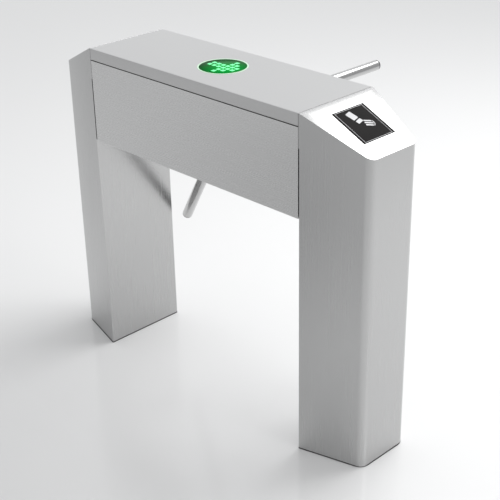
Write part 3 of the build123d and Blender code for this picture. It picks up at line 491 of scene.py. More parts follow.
def lathe(name: str, bench: Bench, profile: Sequence[tuple[float, float]], spot: tuple[float, float] = (0.0, 0.0), segments: int = 96) -> bpy.types.Object:
    """Turn a closed profile about the frame's out axis: x = r cos t, y = r sin t, z = height.

    Args:
        name: object name.
        bench: the local frame.
        profile: (radius, height) pairs in millimetres, in order.
        spot: where the turning axis crosses the frame's plane.
        segments: steps round the turn.

    Returns:
        The object.
    """
    r, z = np.asarray(profile, float).T
    turn = np.linspace(0.0, 2 * np.pi, segments, endpoint=False)
    ring = r[:, None] * np.cos(turn) + spot[0], r[:, None] * np.sin(turn) + spot[1]
    spots = bench.world(ring[0], ring[1], np.repeat(z[:, None], segments, 1))
    hollow = profile[0][0] > 1e-6 and profile[-1][0] > 1e-6
    return sheet_mesh(name, spots, hollow and profile[0] != profile[-1], True, False)


def rounded(profile: Sequence[tuple[float, float]], radius: float, steps: int = 4) -> list[tuple[float, float]]:
    """Round a polyline's inner corners: each is cut back by the radius and bridged by a quadratic curve.

    Args:
        profile: the corner points.
        radius: how far each corner is cut back, at most a third of its shorter side.
        steps: points on each curve.

    Returns:
        The rounded polyline.
    """
    p = np.asarray(profile, float)
    out = [tuple(p[0])]
    for before, here, after in zip(p[:-2], p[1:-1], p[2:]):
        reach = min(radius, np.linalg.norm(here - before) / 3, np.linalg.norm(after - here) / 3)
        start = here + (before - here) / max(np.linalg.norm(before - here), 1e-9) * reach
        end = here + (after - here) / max(np.linalg.norm(after - here), 1e-9) * reach
        t = np.linspace(0, 1, steps + 1)[:, None]
        curve = (1 - t) ** 2 * start + 2 * t * (1 - t) * here + t**2 * end
        out += [tuple(q) for q in curve]
    out.append(tuple(p[-1]))
    return out


def plate(name: str, bench: Bench, outline: np.ndarray, low: float, high: float, edge: float = 0.0) -> bpy.types.Object:
    """Raise a flat outline into a plate: the outline at both heights, its edges softened by a bevel.

    Args:
        name: object name.
        bench: the local frame.
        outline: (n, 2) points in millimetres, in order.
        low: lower height.
        high: upper height.
        edge: bevel width in millimetres, or 0.

    Returns:
        The object.
    """
    heights = np.array([low, high])[:, None]
    spots = bench.world(outline[None, :, 0], outline[None, :, 1], heights)
    thing = sheet_mesh(name, spots, False, True, True)
    if edge:
        soften(thing, edge)
    return thing


def soften(thing: bpy.types.Object, width: float, segments: int = 2) -> bpy.types.Object:
    """Give an object's sharp edges a small rounded bevel, in millimetres."""
    bevel = thing.modifiers.new("edge", "BEVEL")
    bevel.width = width * MM
    bevel.segments = segments
    bevel.limit_method = "ANGLE"
    bevel.angle_limit = math.radians(32)
    bevel.use_clamp_overlap = True
    bevel.harden_normals = True
    return thing


def rounded_box(x: float, y: float, wide: float, deep: float, corner: float, steps: int = 6) -> np.ndarray:
    """Outline of a rectangle with arc corners about (x, y), as (n, 2) points."""
    t = np.linspace(0, np.pi / 2, steps)
    arc = np.stack([np.cos(t), np.sin(t)], -1) * corner
    turns = [(1, 1, 0), (-1, 1, 1), (-1, -1, 2), (1, -1, 3)]
    parts = []
    for sx, sy, quarter in turns:
        a = quarter * np.pi / 2
        spin = np.array([[np.cos(a), -np.sin(a)], [np.sin(a), np.cos(a)]])
        parts.append(arc @ spin.T + [x + sx * (wide / 2 - corner), y + sy * (deep / 2 - corner)])
    return np.concatenate(parts)


def tube(name: str, path: np.ndarray, radius: float, sides: int = 12) -> bpy.types.Object:
    """Carry a circle along a path in metres: each ring stands square to the path, its frame carried on.

    Args:
        name: object name.
        path: (n, 3) points in metres.
        radius: tube radius in millimetres.
        sides: points round the tube.

    Returns:
        The closed tube.
    """
    heading = np.gradient(path, axis=0)
    heading /= np.linalg.norm(heading, axis=1, keepdims=True)
    guide = np.array([0.31, 0.52, 0.79])
    side = np.cross(heading, guide)
    side /= np.linalg.norm(side, axis=1, keepdims=True)
    up = np.cross(heading, side)
    t = np.linspace(0, 2 * np.pi, sides, endpoint=False)
    ring = np.cos(t)[None, :, None] * side[:, None] + np.sin(t)[None, :, None] * up[:, None]
    return sheet_mesh(name, path[:, None] + ring * radius * MM, False, True, True)


def smooth_path(points: Sequence[tuple[float, float, float]], count: int = 60) -> np.ndarray:
    """Curve through points in millimetres by Catmull-Rom weights; returns metres."""
    p = np.asarray(points, float)
    p = np.vstack([2 * p[0] - p[1], p, 2 * p[-1] - p[-2]])
    s = np.linspace(0, len(p) - 3 - 1e-6, count)
    i, t = s.astype(int), (s % 1)[:, None]
    a, b, c, d = p[i], p[i + 1], p[i + 2], p[i + 3]
    spots = 0.5 * (2 * b + (c - a) * t + (2 * a - 5 * b + 4 * c - d) * t**2 + (3 * b - a - 3 * c + d) * t**3)
    return spots * MM


def coil_path(bench: Bench, spot: tuple[float, float], radius: float, low: float, high: float, turns: float) -> np.ndarray:
    """Helix about an axis of the frame: angle and height grow together; returns metres."""
    t = np.linspace(0, 1, int(turns * 20))
    a = 2 * np.pi * turns * t
    return bench.world(spot[0] + radius * np.cos(a), spot[1] + radius * np.sin(a), low + (high - low) * t)


def join(name: str, things: Sequence[bpy.types.Object]) -> bpy.types.Object:
    """Gather several plain meshes into one object of that name."""
    work = bmesh.new()
    for thing in things:
        work.from_mesh(thing.data)
        bpy.data.objects.remove(thing)
    mesh = bpy.data.meshes.new(name)
    work.to_mesh(mesh)
    work.free()
    mesh.polygons.foreach_set("use_smooth", np.ones(len(mesh.polygons), bool))
    mesh.set_sharp_from_angle(angle=math.radians(35))
    whole = bpy.data.objects.new(name, mesh)
    bpy.context.scene.collection.objects.link(whole)
    return whole


def folded_copy(node: str, name: str, edge: float) -> bpy.types.Object:
    """Copy a CAD node, merge its loose triangles and round its folds, then let it stand for the node.

    Args:
        node: CAD node name.
        name: object name.
        edge: bevel width in millimetres.

    Returns:
        The copy.
    """
    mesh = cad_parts[node].data.copy()
    mesh.materials.clear()
    work = bmesh.new()
    work.from_mesh(mesh)
    bmesh.ops.remove_doubles(work, verts=work.verts, dist=2e-6)
    bmesh.ops.dissolve_limit(work, angle_limit=math.radians(0.6), verts=work.verts, edges=work.edges)
    work.to_mesh(mesh)
    work.free()
    if mesh.attributes.get("custom_normal"):
        mesh.attributes.remove(mesh.attributes["custom_normal"])
    mesh.polygons.foreach_set("use_smooth", np.ones(len(mesh.polygons), bool))
    mesh.set_sharp_from_angle(angle=math.radians(28))
    thing = bpy.data.objects.new(name, mesh)
    bpy.context.scene.collection.objects.link(thing)
    soften(thing, edge, 3)
    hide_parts(node)
    return thing


def dress(thing: bpy.types.Object, body: str, slot: str, stands_for: Iterable[str] = ()) -> bpy.types.Object:
    """Give a piece its finish and its body, and report it.

    Args:
        thing: the piece.
        body: the CAD body it rides on.
        slot: the finish's name on the rack.
        stands_for: CAD nodes the piece replaces.

    Returns:
        The same piece.
    """
    thing.data.materials.clear()
    thing.data.materials.append(RACK.get(slot))
    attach(thing, body)
    if stands_for:
        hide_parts(*stands_for)
    LOG.info("%s rides on %s in %s", thing.name, body, slot)
    return thing


def repaint(nodes: Iterable[str], slot: str) -> None:
    """Give CAD nodes that stay in view a finish from the rack."""
    for node in nodes:
        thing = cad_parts[node]
        thing.data.materials.clear()
        thing.data.materials.append(RACK.get(slot))
        LOG.info("%s keeps its CAD shape in %s", node, slot)


# ---------------------------------------------------------------- sub-assemblies
SIDES = (("near", 1), ("far", -1))
TILT = math.radians(25.08)
TAPER = math.radians(15.18)


def slope_bench(side: int) -> Bench:
    """Frame on a pedestal's sloping top: across runs down the slope, out stands off it."""
    return Bench(
        (side * 506.0, 0.0, 936.0),
        (side * math.cos(TILT), 0.0, -math.sin(TILT)),
        (0.0, float(side), 0.0),
        (side * math.sin(TILT), 0.0, math.cos(TILT)),
    )


def door_bench(side: int) -> Bench:
    """Frame on a pedestal's tapered walkway face: along is up, out stands off the face."""
    return Bench(
        (side * 506.0, 112.5, 0.0),
        (-side * math.cos(TAPER), math.sin(TAPER), 0.0),
        (0.0, 0.0, 1.0),
        (side * math.sin(TAPER), math.cos(TAPER), 0.0),
    )


@dataclass
class Cabinet:
    """Two pedestals and the bridge between them, with base plates, bolts, sleeves and buffers."""

    fold: float = 0.7
    bead_out: float = 1.2
    bead_high: float = 3.0
    trim_out: float = 0.3
    trim_half: float = 0.95

    def build(self) -> None:
        """Round the folds of the three shells and lay a dark bead round each foot, along the line where it meets the
        floor.
        """
        for name, side in SIDES:
            shell = folded_copy(f"{name}_pedestal_shell", f"{name}_pedestal", self.fold)
            dress(shell, "cabinet", "pedestal_steel")
            self.lay_foot_bead(name, side)
        dress(folded_copy("bridge_shell", "bridge", self.fold), "cabinet", "bridge_steel")
        for name, face in (("front", -1), ("walkway", 1)):
            self.trim(f"{name}_seam_trim", face)

    def trim(self, name: str, face: int) -> None:
        """Black edging along the bridge's top edge: a low half-round section carried along the cabinet.

        Args:
            name: piece name.
            face: -1 for the front face, +1 for the walkway face.
        """
        t = np.linspace(-90, 90, 9)
        bow = self.trim_out * np.cos(np.radians(t))
        y = face * np.concatenate([138.0 + bow, [137.4, 137.4]])
        z = np.concatenate([945.0 + np.sin(np.radians(t)) * self.trim_half, [945.0 + self.trim_half, 945.0 - self.trim_half]])
        x = np.linspace(-408.2, 408.2, 9)
        spots = LEVEL.world(x[:, None], y[None, :], z[None, :])
        dress(sheet_mesh(name, spots, False, True, True), "cabinet", "buffer_rubber")

    def lay_foot_bead(self, name: str, side: int) -> None:
        """Dark bead round a foot, drawing a dark line where the foot meets the floor: the foot's tapered outline,
        rounded, pushed out a little and raised.

        Args:
            name: which pedestal.
            side: +1 near, -1 far.
        """
        x = np.array([412.0, 600.0, 600.0, 412.0]) * side
        y = np.array([-138.0, -87.0, 87.0, 138.0])
        corners = np.stack([x, y], -1)
        outline = round_corners(corners, np.array([2.0, 25.0, 25.0, 2.0]))
        outer, inner = offset(outline, self.bead_out), offset(outline, -0.6)
        rows = []
        for share, high in ((1.0, 0.15), (1.0, 0.45), (0.72, 0.8), (0.3, 1.0), (0.0, 1.0), (0.0, 0.05)):
            ring = inner + (outer - inner) * share
            rows.append(LEVEL.world(ring[:, 0], ring[:, 1], np.full(len(ring), high * self.bead_high)))
        # Black rubber bead: it darkens the line where the foot meets the floor.
        bead = sheet_mesh(f"{name}_dark_foot_bead", np.stack(rows), True, True, False)
        dress(bead, "cabinet", "buffer_rubber")

    def dress(self) -> None:
        """Finish the CAD nodes that stay in view."""
        repaint(("base_plates", "cabinet_bolts", "lid_hinge_brackets", "counter_bracket"), "zinc_steel")
        repaint(("cable_sleeves",), "grey_plastic")
        repaint(("lid_rests",), "zinc_steel")
        repaint(("lid_buffers",), "buffer_rubber")


def round_corners(corners: np.ndarray, radii: np.ndarray, steps: int = 9) -> np.ndarray:
    """Replace each corner of a closed outline by an arc-like quadratic curve cut back by its radius."""
    spots = []
    for i, here in enumerate(corners):
        back = corners[i - 1] - here
        ahead = corners[(i + 1) % len(corners)] - here
        start = here + back / np.linalg.norm(back) * radii[i]
        end = here + ahead / np.linalg.norm(ahead) * radii[i]
        t = np.linspace(0, 1, steps)[:, None]
        spots.append((1 - t) ** 2 * start + 2 * t * (1 - t) * here + t**2 * end)
    return np.concatenate(spots)


def offset(outline: np.ndarray, out: float) -> np.ndarray:
    """Push a closed outline outwards along the mean of its edge normals."""
    heading = np.roll(outline, -1, 0) - np.roll(outline, 1, 0)
    heading /= np.linalg.norm(heading, axis=1, keepdims=True)
    turn = np.sum(outline[:, 0] * np.roll(outline[:, 1], -1) - np.roll(outline[:, 0], -1) * outline[:, 1])
    normal = np.stack([heading[:, 1], -heading[:, 0]], -1) * math.copysign(1.0, turn)
    return outline + normal * out


@dataclass
class Readers:
    """Card readers in the sloping tops: black glass with a border line and a card-and-hand pictogram."""

    size: float = 117.9
    centre: float = -8.79
    thick: float = 4.0
    print_high: float = 0.25
    line: float = 1.3

    def build(self) -> None:
        """Lay a window, its border and its pictogram in each slope."""
        for name, side in SIDES:
            bench = slope_bench(side)
            outline = rounded_box(self.centre, 0.0, self.size, self.size, 2.5)
            window = plate(f"{name}_reader_window", bench, outline, -self.thick, 0.0, 0.7)
            dress(window, "cabinet", "reader_glass", stands_for=("reader_windows",))
            marks = [*self.border(bench), *self.pictogram(bench)]
            dress(join(f"{name}_reader_print", marks), "cabinet", "reader_print")

    def stroke(self, bench: Bench, points: Sequence[tuple[float, float]], wide: float) -> list[bpy.types.Object]:
        """Line drawn through points, one flat capsule for each leg.

        Args:
            bench: the slope's frame.
            points: the line's corners.
            wide: line width.

        Returns:
            The capsules.
        """
        legs = []
        for a, b in zip(points[:-1], points[1:]):
            a, b = np.asarray(a, float), np.asarray(b, float)
            lean = math.atan2(*(b - a)[::-1])
            t = np.concatenate([np.linspace(-90, 90, 9), np.linspace(90, 270, 9)])
            ends = np.concatenate([np.tile(b, (9, 1)), np.tile(a, (9, 1))])
            turn = np.radians(t) + lean
            outline = ends + wide / 2 * np.stack([np.cos(turn), np.sin(turn)], -1)
            legs.append(plate("leg", bench, outline, -0.02, self.print_high))
        return legs

    def border(self, bench: Bench) -> list[bpy.types.Object]:
        """Thin line a little inside the window's edge, further in at the sides than at the ends."""
        x, y = self.size / 2 - 3.6, self.size / 2 - 8.6
        box = [(-x, -y), (x, -y), (x, y), (-x, y), (-x, -y)]
        return self.stroke(bench, [(self.centre + a, b) for a, b in box], self.line * 0.7)

    def pictogram(self, bench: Bench) -> list[bpy.types.Object]:
        """Tilted card held by three fingertips, with a dark stripe left open across it."""
        lean = math.radians(15.7)
        spin = np.array([[math.cos(lean), -math.sin(lean)], [math.sin(lean), math.cos(lean)]])
        middle = np.array([self.centre - 24.4, -8.1])
        marks = []
        for start, long in ((-22.0, 27.0), (9.0, 11.0)):
            part = rounded_box(start + long / 2, 0, long, 21.0, 2.2) @ spin.T + middle
            marks.append(plate("card", bench, part, -0.02, self.print_high))
        for x, y, long in ((-7.0, 9.0, 19.0), (0.5, 6.5, 21.0), (8.0, 4.0, 18.0)):
            start = np.array([self.centre + x, y])
            marks += self.stroke(bench, [tuple(start), tuple(start + [long * 0.42, long * 0.9])], 4.6)
        palm = [(self.centre + 3.0, 31.0), (self.centre + 13.0, 30.0), (self.centre + 18.0, 24.0)]
        marks += self.stroke(bench, palm, 2.2)
        return marks

    def dress(self) -> None:
        """Finish the reader modules and their frames behind the windows."""
        repaint(("reader_units",), "black_plastic")
        repaint(("reader_frames",), "black_plastic")


@dataclass
class Locks:
    """Quarter-turn locks: a bright rim and a keyway on each lock's face, the keyway's dark recess painted as a black
    plate.
    """

    radius: float = 9.0
    proud: float = 3.0

    def face(self, name: str, body: str, bench: Bench) -> None:
        """Rim, keyway and core on one lock; the keyway is painted shade, a black plate standing a little proud instead
        of a recess.

        Args:
            name: piece name stem.
            body: the lock's body.
            bench: frame with its origin on the sheet at the lock's centre.
        """
        r, h = self.radius, self.proud
        profile = rounded([(r - 2.6, h - 0.02), (r - 2.6, h + 0.25), (r - 1.4, h + 0.6), (r + 0.15, h - 0.5), (r + 0.15, 0.4), (r - 0.3, 0.4)], 0.4)
        rim = lathe(f"{name}_rim", bench, profile, segments=64)
        dress(rim, body, "lock_brass")
        # Painted shade: the keyway is a thin black plate on the face, standing for the dark inside of the slot.
        slot = plate(f"{name}_keyway", bench, rounded_box(0, 0, 1.7, 8.0, 0.8), h - 0.02, h + 0.12)
        dish = [(0.0, h - 0.02), (4.6, h - 0.02), (4.6, h + 0.03), (4.45, h + 0.09), (4.1, h + 0.1), (3.6, h + 0.06), (0.0, h + 0.03)]
        core = lathe("core", bench, dish, segments=40)
        dress(join(f"{name}_keyway", [slot]), body, "black_plastic")
        dress(join(f"{name}_core", [core]), body, "shaft_steel")

    def build(self) -> None:
        """Dress the faces of the lid's and the doors' locks."""
        for name, side in SIDES:
            lid = Bench((side * 250.0, 138.0, 963.0), (1, 0, 0), (0, 0, 1), (0, 1, 0))
            self.face(f"{name}_lid_lock_face", f"{name}_lid_lock", lid)
            door = door_bench(side)
            spot = door.world(np.array(36.0 + 8.0), np.array(270.0), np.array(0.0)) / MM
            bench = Bench(tuple(spot), door.across, door.along, door.out)
            self.face(f"{name}_door_lock_face", f"{name}_door_lock", bench)

    def dress(self) -> None:
        """Finish the lock barrels and tongues."""
        repaint([f"{name}_{part}_lock" for name, _ in SIDES for part in ("lid", "door")], "lock_brass")


@dataclass
class Doors:
    """Service doors in the tapered faces, with their hinges."""

    fold: float = 0.5
    lock_spot: tuple[float, float] = (44.0, 270.0)
    hole: float = 8.6
    ease: float = 0.2
    dip: float = 0.12

    def build(self) -> None:
        """Round the folds of both doors and give the lock barrels room to turn."""
        for name, side in SIDES:
            panel = folded_copy(f"{name}_door", f"{name}_door_panel", self.fold)
            self.ease_hole(panel, door_bench(side))
            dress(panel, f"{name}_door", "door_steel")

    def ease_hole(self, panel: bpy.types.Object, bench: Bench) -> None:
        """Dish the rim of the lock's hole: points near its axis move out by `ease`, and those in front sink by `dip`.

        Args:
            panel: the door.
            bench: the door face's frame.
        """
        spots = np.empty(len(panel.data.vertices) * 3)
        panel.data.vertices.foreach_get("co", spots)
        spots = spots.reshape(-1, 3)
        local = spots / MM - np.asarray(bench.origin)
        x = local @ np.asarray(bench.across) - self.lock_spot[0]
        y = local @ np.asarray(bench.along) - self.lock_spot[1]
        r = np.maximum(np.hypot(x, y), 1e-6)
        push = np.where(r < self.hole, self.ease / r, 0.0)
        sink = np.where((r < self.hole) & (local @ np.asarray(bench.out) > -0.5), self.dip, 0.0)
        shift = (x * push)[:, None] * np.asarray(bench.across) + (y * push)[:, None] * np.asarray(bench.along)
        spots += (shift - sink[:, None] * np.asarray(bench.out)) * MM
        panel.data.vertices.foreach_set("co", spots.ravel())
        panel.data.update()

    def dress(self) -> None:
        """Finish the hinge knuckles."""
        repaint(("door_hinges",), "zinc_steel")


@dataclass
class Display:
    """Round sign in the lid: dark green glass, a glowing rim and an arrow of square lights."""

    ring_inner: float = 66.0
    ring_outer: float = 70.0
    low: float = 978.0
    glass_top: float = 980.0
    ring_top: float = 980.6
    pitch: float = 17.5
    dot: float = 12.2

    def build(self) -> None:
        """Turn the rim and the glass, then set the arrow's lights."""
        a, b, low, top = self.ring_inner, self.ring_outer, self.low, self.ring_top
        rim = lathe("display_rim", LEVEL, rounded([(a, low), (a, top), (b, top), (b, low), (a, low)], 0.5), segments=160)
        dress(rim, "lid", "display_glow", stands_for=("display_ring",))
        top = self.glass_top
        edge = [(a - 0.05, top - 0.5), (a - 0.18, top - 0.16), (a - 0.55, top)]
        glass = lathe("display_glass", LEVEL, [(0.0, low), (a - 0.05, low), *edge, (0.0, top)], segments=160)
        dress(glass, "lid", "display_glass", stands_for=("display_window",))
        lights = [self.light(x, y) for x, y in self.arrow()]
        dress(join("display_lights", lights), "lid", "led_lit")

    def arrow(self) -> list[tuple[float, float]]:
        """Places of the lit squares: a shaft two rows wide, then a head whose columns hold six, four and two."""
        p = self.pitch
        rows = {-3: 2, -2: 2, -1: 2, 0: 6, 1: 4, 2: 2}
        spots = [((i + 0.54) * p, (j - (count - 1) / 2 + 0.04) * p) for i, count in rows.items() for j in range(count)]
        return [(x, y) for x, y in spots if math.hypot(x, y) < self.ring_inner - self.dot]

    def light(self, x: float, y: float) -> bpy.types.Object:
        """One light: a low square dome, its outline rounded and its top shrunk.

        Args:
            x: its place along the cabinet.
            y: its place across it.

        Returns:
            The mesh object.
        """
        rows = []
        for share, high in ((1.0, -0.02), (1.0, 0.12), (0.86, 0.22)):
            ring = rounded_box(x, y, self.dot * share, self.dot * share, 1.4 * share, 4)
            rows.append(LEVEL.world(ring[:, 0], ring[:, 1], np.full(len(ring), self.glass_top + high)))
        return sheet_mesh("light", np.stack(rows), False, True, True)

    def dress(self) -> None:
        """Finish the cup and the board under the glass."""
        repaint(("display_cup",), "black_plastic")
        repaint(("display_board",), "board_green")


@dataclass
class Lid:
    """The lifting lid with its gooseneck hinges."""

    def build(self) -> None:
        """Round the lid's folds."""
        dress(folded_copy("lid_shell", "lid_panel", 0.7), "lid", "lid_steel")

    def dress(self) -> None:
        """Finish the goosenecks."""
        repaint(("lid_goosenecks",), "zinc_steel")


@dataclass
class Tripod:
    """Three arms on a cast hub that turns on a sloping shaft, with the wheels on it."""

    arm_radius: float = 16.0
    arm_wall: float = 2.0
    arm_start: float = 114.0
    arm_end: float = 627.0
    tip: float = 8.0
    arms: tuple[tuple[str, float], ...] = (("level_arm", -90.0), ("near_arm", 30.0), ("far_arm", 150.0))

    def build(self) -> None:
        """Turn the arms, their caps, the hub's cap and screws, and soften the hub."""
        r, w = self.arm_radius, self.arm_wall
        for name, turn in self.arms:
            bench = spoke_bench(turn)
            wall = rounded([(r - w, self.arm_start), (r, self.arm_start), (r, self.arm_end), (r - w, self.arm_end)], 0.3)
            tube_piece = lathe(f"{name}_tube", bench, wall, segments=72)
            dress(tube_piece, "tripod", "arm_steel", stands_for=(name,))
            tip = self.arm_end
            plug = [(0.0, tip - 20), (r - w - 0.05, tip - 20), (r - w - 0.05, tip), (r, tip), (r - 0.5, tip + 1.6)]
            bow = [(r - 6 * t**1.6, tip + 1.6 + (self.tip - 1.6) * math.sin(t * math.pi / 2)) for t in np.linspace(0.25, 1, 7)]
            cap = lathe(f"{name}_cap", bench, [*plug, *bow, (0.0, tip + self.tip + 0.05)], segments=72)
            dress(cap, "tripod", "black_plastic", stands_for=("arm_caps",))
        dress(folded_copy("tripod_hub", "hub_casting", 1.4), "tripod", "hub_metal")
        dome = rounded([(0.0, 104.0), (48.0, 104.0), (47.0, 108.5), (38.0, 112.0), (0.0, 112.0)], 3.0, 6)
        dress(lathe("hub_cover", TRIPOD, dome, segments=120), "tripod", "lid_steel", stands_for=("hub_cap",))
        screws = [self.screw(26 * math.cos(a), 26 * math.sin(a)) for a in np.radians([-30, 90, 210])]
        dress(join("hub_socket_screws", screws), "tripod", "hard_steel", stands_for=("hub_screws",))

    def screw(self, x: float, y: float) -> bpy.types.Object:
        """Socket head screw: a round head whose recess has a six-sided section, radius a / cos(t mod 60).

        Args:
            x: its place across the tripod's frame.
            y: its place along it.

        Returns:
            The mesh object.
        """
        t = np.linspace(0, 2 * np.pi, 72, endpoint=False)
        hexagon = 1 / np.cos((t % (np.pi / 3)) - np.pi / 6)
        rings = [(0.01, 1, 96.0), (6.5, 0, 96.0), (6.5, 0, 103.2), (5.9, 0, 103.9), (4.4, 0, 103.9), (2.6, 1, 103.4), (2.6, 1, 99.8), (0.01, 1, 99.4)]
        rows = []
        for radius, six, high in rings:
            r = radius * (hexagon if six else 1.0)
            rows.append(TRIPOD.world(x + r * np.cos(t), y + r * np.sin(t), np.full(len(t), high)))
        return sheet_mesh("screw", np.stack(rows), False, True, True)

    def dress(self) -> None:
        """Finish the shaft, nut, ratchets, cam and gear."""
        repaint(("tripod_shaft",), "shaft_steel")
        repaint(("shaft_nut",), "zinc_steel")
        repaint(("entry_ratchet", "exit_ratchet", "index_cam"), "hard_steel")
        repaint(("tripod_gear",), "gear_brass")


@dataclass
class Mechanism:
    """Plates, bearings, pawls, solenoids, damper and encoder under the bridge."""

    level: dict[str, float] = field(default_factory=lambda: {"entry": 12.0, "exit": -2.0})

    def build(self) -> None:
        """Wind the solenoids' coils and set the bearing shields."""
        for side, name in ((1, "entry"), (-1, "exit")):
            s = self.level[name]
            axis = Bench(tuple(TRIPOD.world(np.array(90.0 * side), np.array(66.0), np.array(s)) / MM), TRIPOD.across, TRIPOD.out, TRIPOD.along)
            self.winding(f"{name}_solenoid_winding", axis)
        for name, near, far in (("front", 48.9, 49.4), ("rear", -44.5, -43.9)):
            ring = rounded([(18.0, near), (18.0, far), (25.0, far), (25.0, near), (18.0, near)], 0.2)
            dress(lathe(f"{name}_bearing_shield", TRIPOD, ring, segments=72), "cabinet", "hard_steel")

    def winding(self, name: str, axis: Bench) -> None:
        """Ribbed jacket round a solenoid: a rounded square whose size ripples along its length.

        Args:
            name: piece name.
            axis: frame with its origin at the coil's front face and out along its length.
        """
        along = np.linspace(6.0, 40.0, 69)
        swell = 0.35 + 0.3 * np.abs(np.sin((along - 6.0) * math.pi / 2.0))
        swell[0] = swell[-1] = -0.3
        base = rounded_box(0, 0, 30.0, 28.0, 2.0, 5)
        grow = rounded_box(0, 0, 32.0, 30.0, 3.0, 5) - base
        rows = [axis.world(*(base + grow * g).T, np.full(len(base), z)) for g, z in zip(swell, along)]
        dress(sheet_mesh(name, np.stack(rows), False, True, True), "cabinet", "copper_wire")

    def dress(self) -> None:
        """Finish the mechanism's CAD nodes."""
        repaint(("front_plate", "rear_plate", "mechanism_posts", "index_lever"), "zinc_steel")
        repaint(("shaft_bearings", "index_roller", "entry_pawl", "exit_pawl"), "hard_steel")
        repaint(("entry_plunger", "exit_plunger"), "shaft_steel")
        repaint(("solenoids",), "coil_paint")
        repaint(("damper_unit", "encoder_unit"), "black_plastic")
        repaint(("damper_pinion", "encoder_pinion"), "gear_brass")


@dataclass
class Electrics:
    """Boards, terminals, power supply, visitor counter and the wires between them."""

    floor: float = 702.0
    board: tuple[float, float, float] = (310.0, -25.0, 715.6)
    count: tuple[int, ...] = (0, 2, 4, 7, 1, 8)

    def build(self) -> None:
        """Fit the small parts: board components, terminal screws, vents, digits and wires."""
        self.components()
        self.terminals()
        self.vents()
        self.digits()
        self.wires()

    def components(self) -> None:
        """Capacitor cans and chip legs on the control board."""
        bx, by, bz = self.board
        cans = []
        for x, y, r, h in ((-60, 44, 6, 15), (-44, 44, 6, 15), (-60, 28, 4, 10), (60, 4, 4, 10), (60, -12, 4, 10)):
            profile = rounded([(0.0, bz), (r, bz), (r, bz + h), (0.0, bz + h)], 1.2)
            cans.append(lathe("can", LEVEL, profile, (bx + x, by + y), 32))
        dress(join("board_capacitors", cans), "cabinet", "lock_brass")
        legs = [plate("leg", LEVEL, rounded_box(bx - 30 + sx * 14.4, by + 10 + k * 3.2, 2.8, 1.2, 0.3, 3), bz, bz + 0.9) for sx in (-1, 1) for k in range(-3, 4)]
        dress(join("chip_legs", legs), "cabinet", "lock_brass")

    def terminals(self) -> None:
        """Screw heads along the terminal strip, each with a driver slot's shadow line."""
        screws, slots = [], []
        for k in range(12):
            x, y, z = 310.0 + (k - 5.5) * 10.0, 70.0, self.floor + 22.0
            screws.append(lathe("screw", LEVEL, rounded([(0.0, z), (2.8, z), (2.8, z + 0.9), (0.0, z + 1.2)], 0.4), (x, y), 24))
            slots.append(plate("slot", LEVEL, rounded_box(x, y, 4.6, 0.8, 0.3, 3), z + 0.9, z + 1.24))
        dress(join("terminal_screws", screws), "cabinet", "zinc_steel")
        dress(join("terminal_slots", slots), "cabinet", "black_plastic")

    def vents(self) -> None:
        """Rows of raised louvres on the power supply's cover."""
        z = self.floor + 38.0
        fins = [plate("fin", LEVEL, rounded_box(-310 + i * 12.0, -20 + j * 34.0, 4.0, 24.0, 1.9, 6), z, z + 0.9) for i in range(-5, 6) for j in (-1, 1)]
        dress(join("supply_louvres", fins), "cabinet", "zinc_steel")

    def digits(self) -> None:
        """Six figures on the counter's wheels, each made of straight strokes."""
        strokes = {"t": (0, 3.6, 3.0, 0.8), "m": (0, 0, 3.0, 0.8), "b": (0, -3.6, 3.0, 0.8),
                   "u": (-1.7, 1.8, 0.8, 3.2), "v": (1.7, 1.8, 0.8, 3.2), "l": (-1.7, -1.8, 0.8, 3.2), "r": (1.7, -1.8, 0.8, 3.2)}
        shapes = ("tbuvlr", "vr", "tmbvl", "tmbvr", "muvr", "tmbur", "tmbulr", "tvr", "tmbuvlr", "tmbuvr")
        marks = []
        for k, digit in enumerate(self.count):
            x = -300.0 + (k - 2.5) * 7.0
            for key in shapes[digit]:
                dx, dy, wide, high = strokes[key]
                marks.append(plate("stroke", LEVEL, rounded_box(x + dx, 106.0 + dy, wide, high, 0.3, 3), 923.98, 924.12))
        dress(join("counter_figures", marks), "cabinet", "black_plastic")

    def wires(self) -> None:
        """Wires on the bridge's floor from the supply and the terminals to the board, each a curve through points."""
        routes = {
            "supply_wire_red": ("wire_red", [(-252, 36, 708), (-236, 34, 706), (-229, 0, 705), (-226, -70, 705), (-205, -122, 705), (0, -127, 705),
                                             (205, -122, 705), (226, -70, 705), (229, 20, 705), (238, 62, 706), (247, 68, 708)]),
            "supply_wire_blue": ("wire_blue", [(-252, 40, 708), (-232, 39, 706), (-224, 0, 705), (-221, -70, 705), (-200, -127, 705), (0, -132, 705),
                                               (200, -127, 705), (221, -70, 705), (224, 20, 705), (234, 68, 706), (247, 73, 708)]),
            "board_wire_red": ("wire_red", [(290, 62, 712), (288, 52, 708), (286, 44, 716), (285, 20, 722)]),
            "board_wire_blue": ("wire_blue", [(320, 62, 712), (322, 52, 708), (326, 44, 716), (330, 10, 724)]),
        }
        for name, (finish, points) in routes.items():
            dress(tube(name, smooth_path(points, 70), 1.5), "cabinet", finish)

    def dress(self) -> None:
        """Finish the electrical CAD nodes."""
        repaint(("control_board",), "board_green")
        repaint(("terminal_strip",), "grey_plastic")
        repaint(("power_supply",), "zinc_steel")
        repaint(("visitor_counter",), "black_plastic")
        repaint(("counter_wheels",), "cream_plastic")


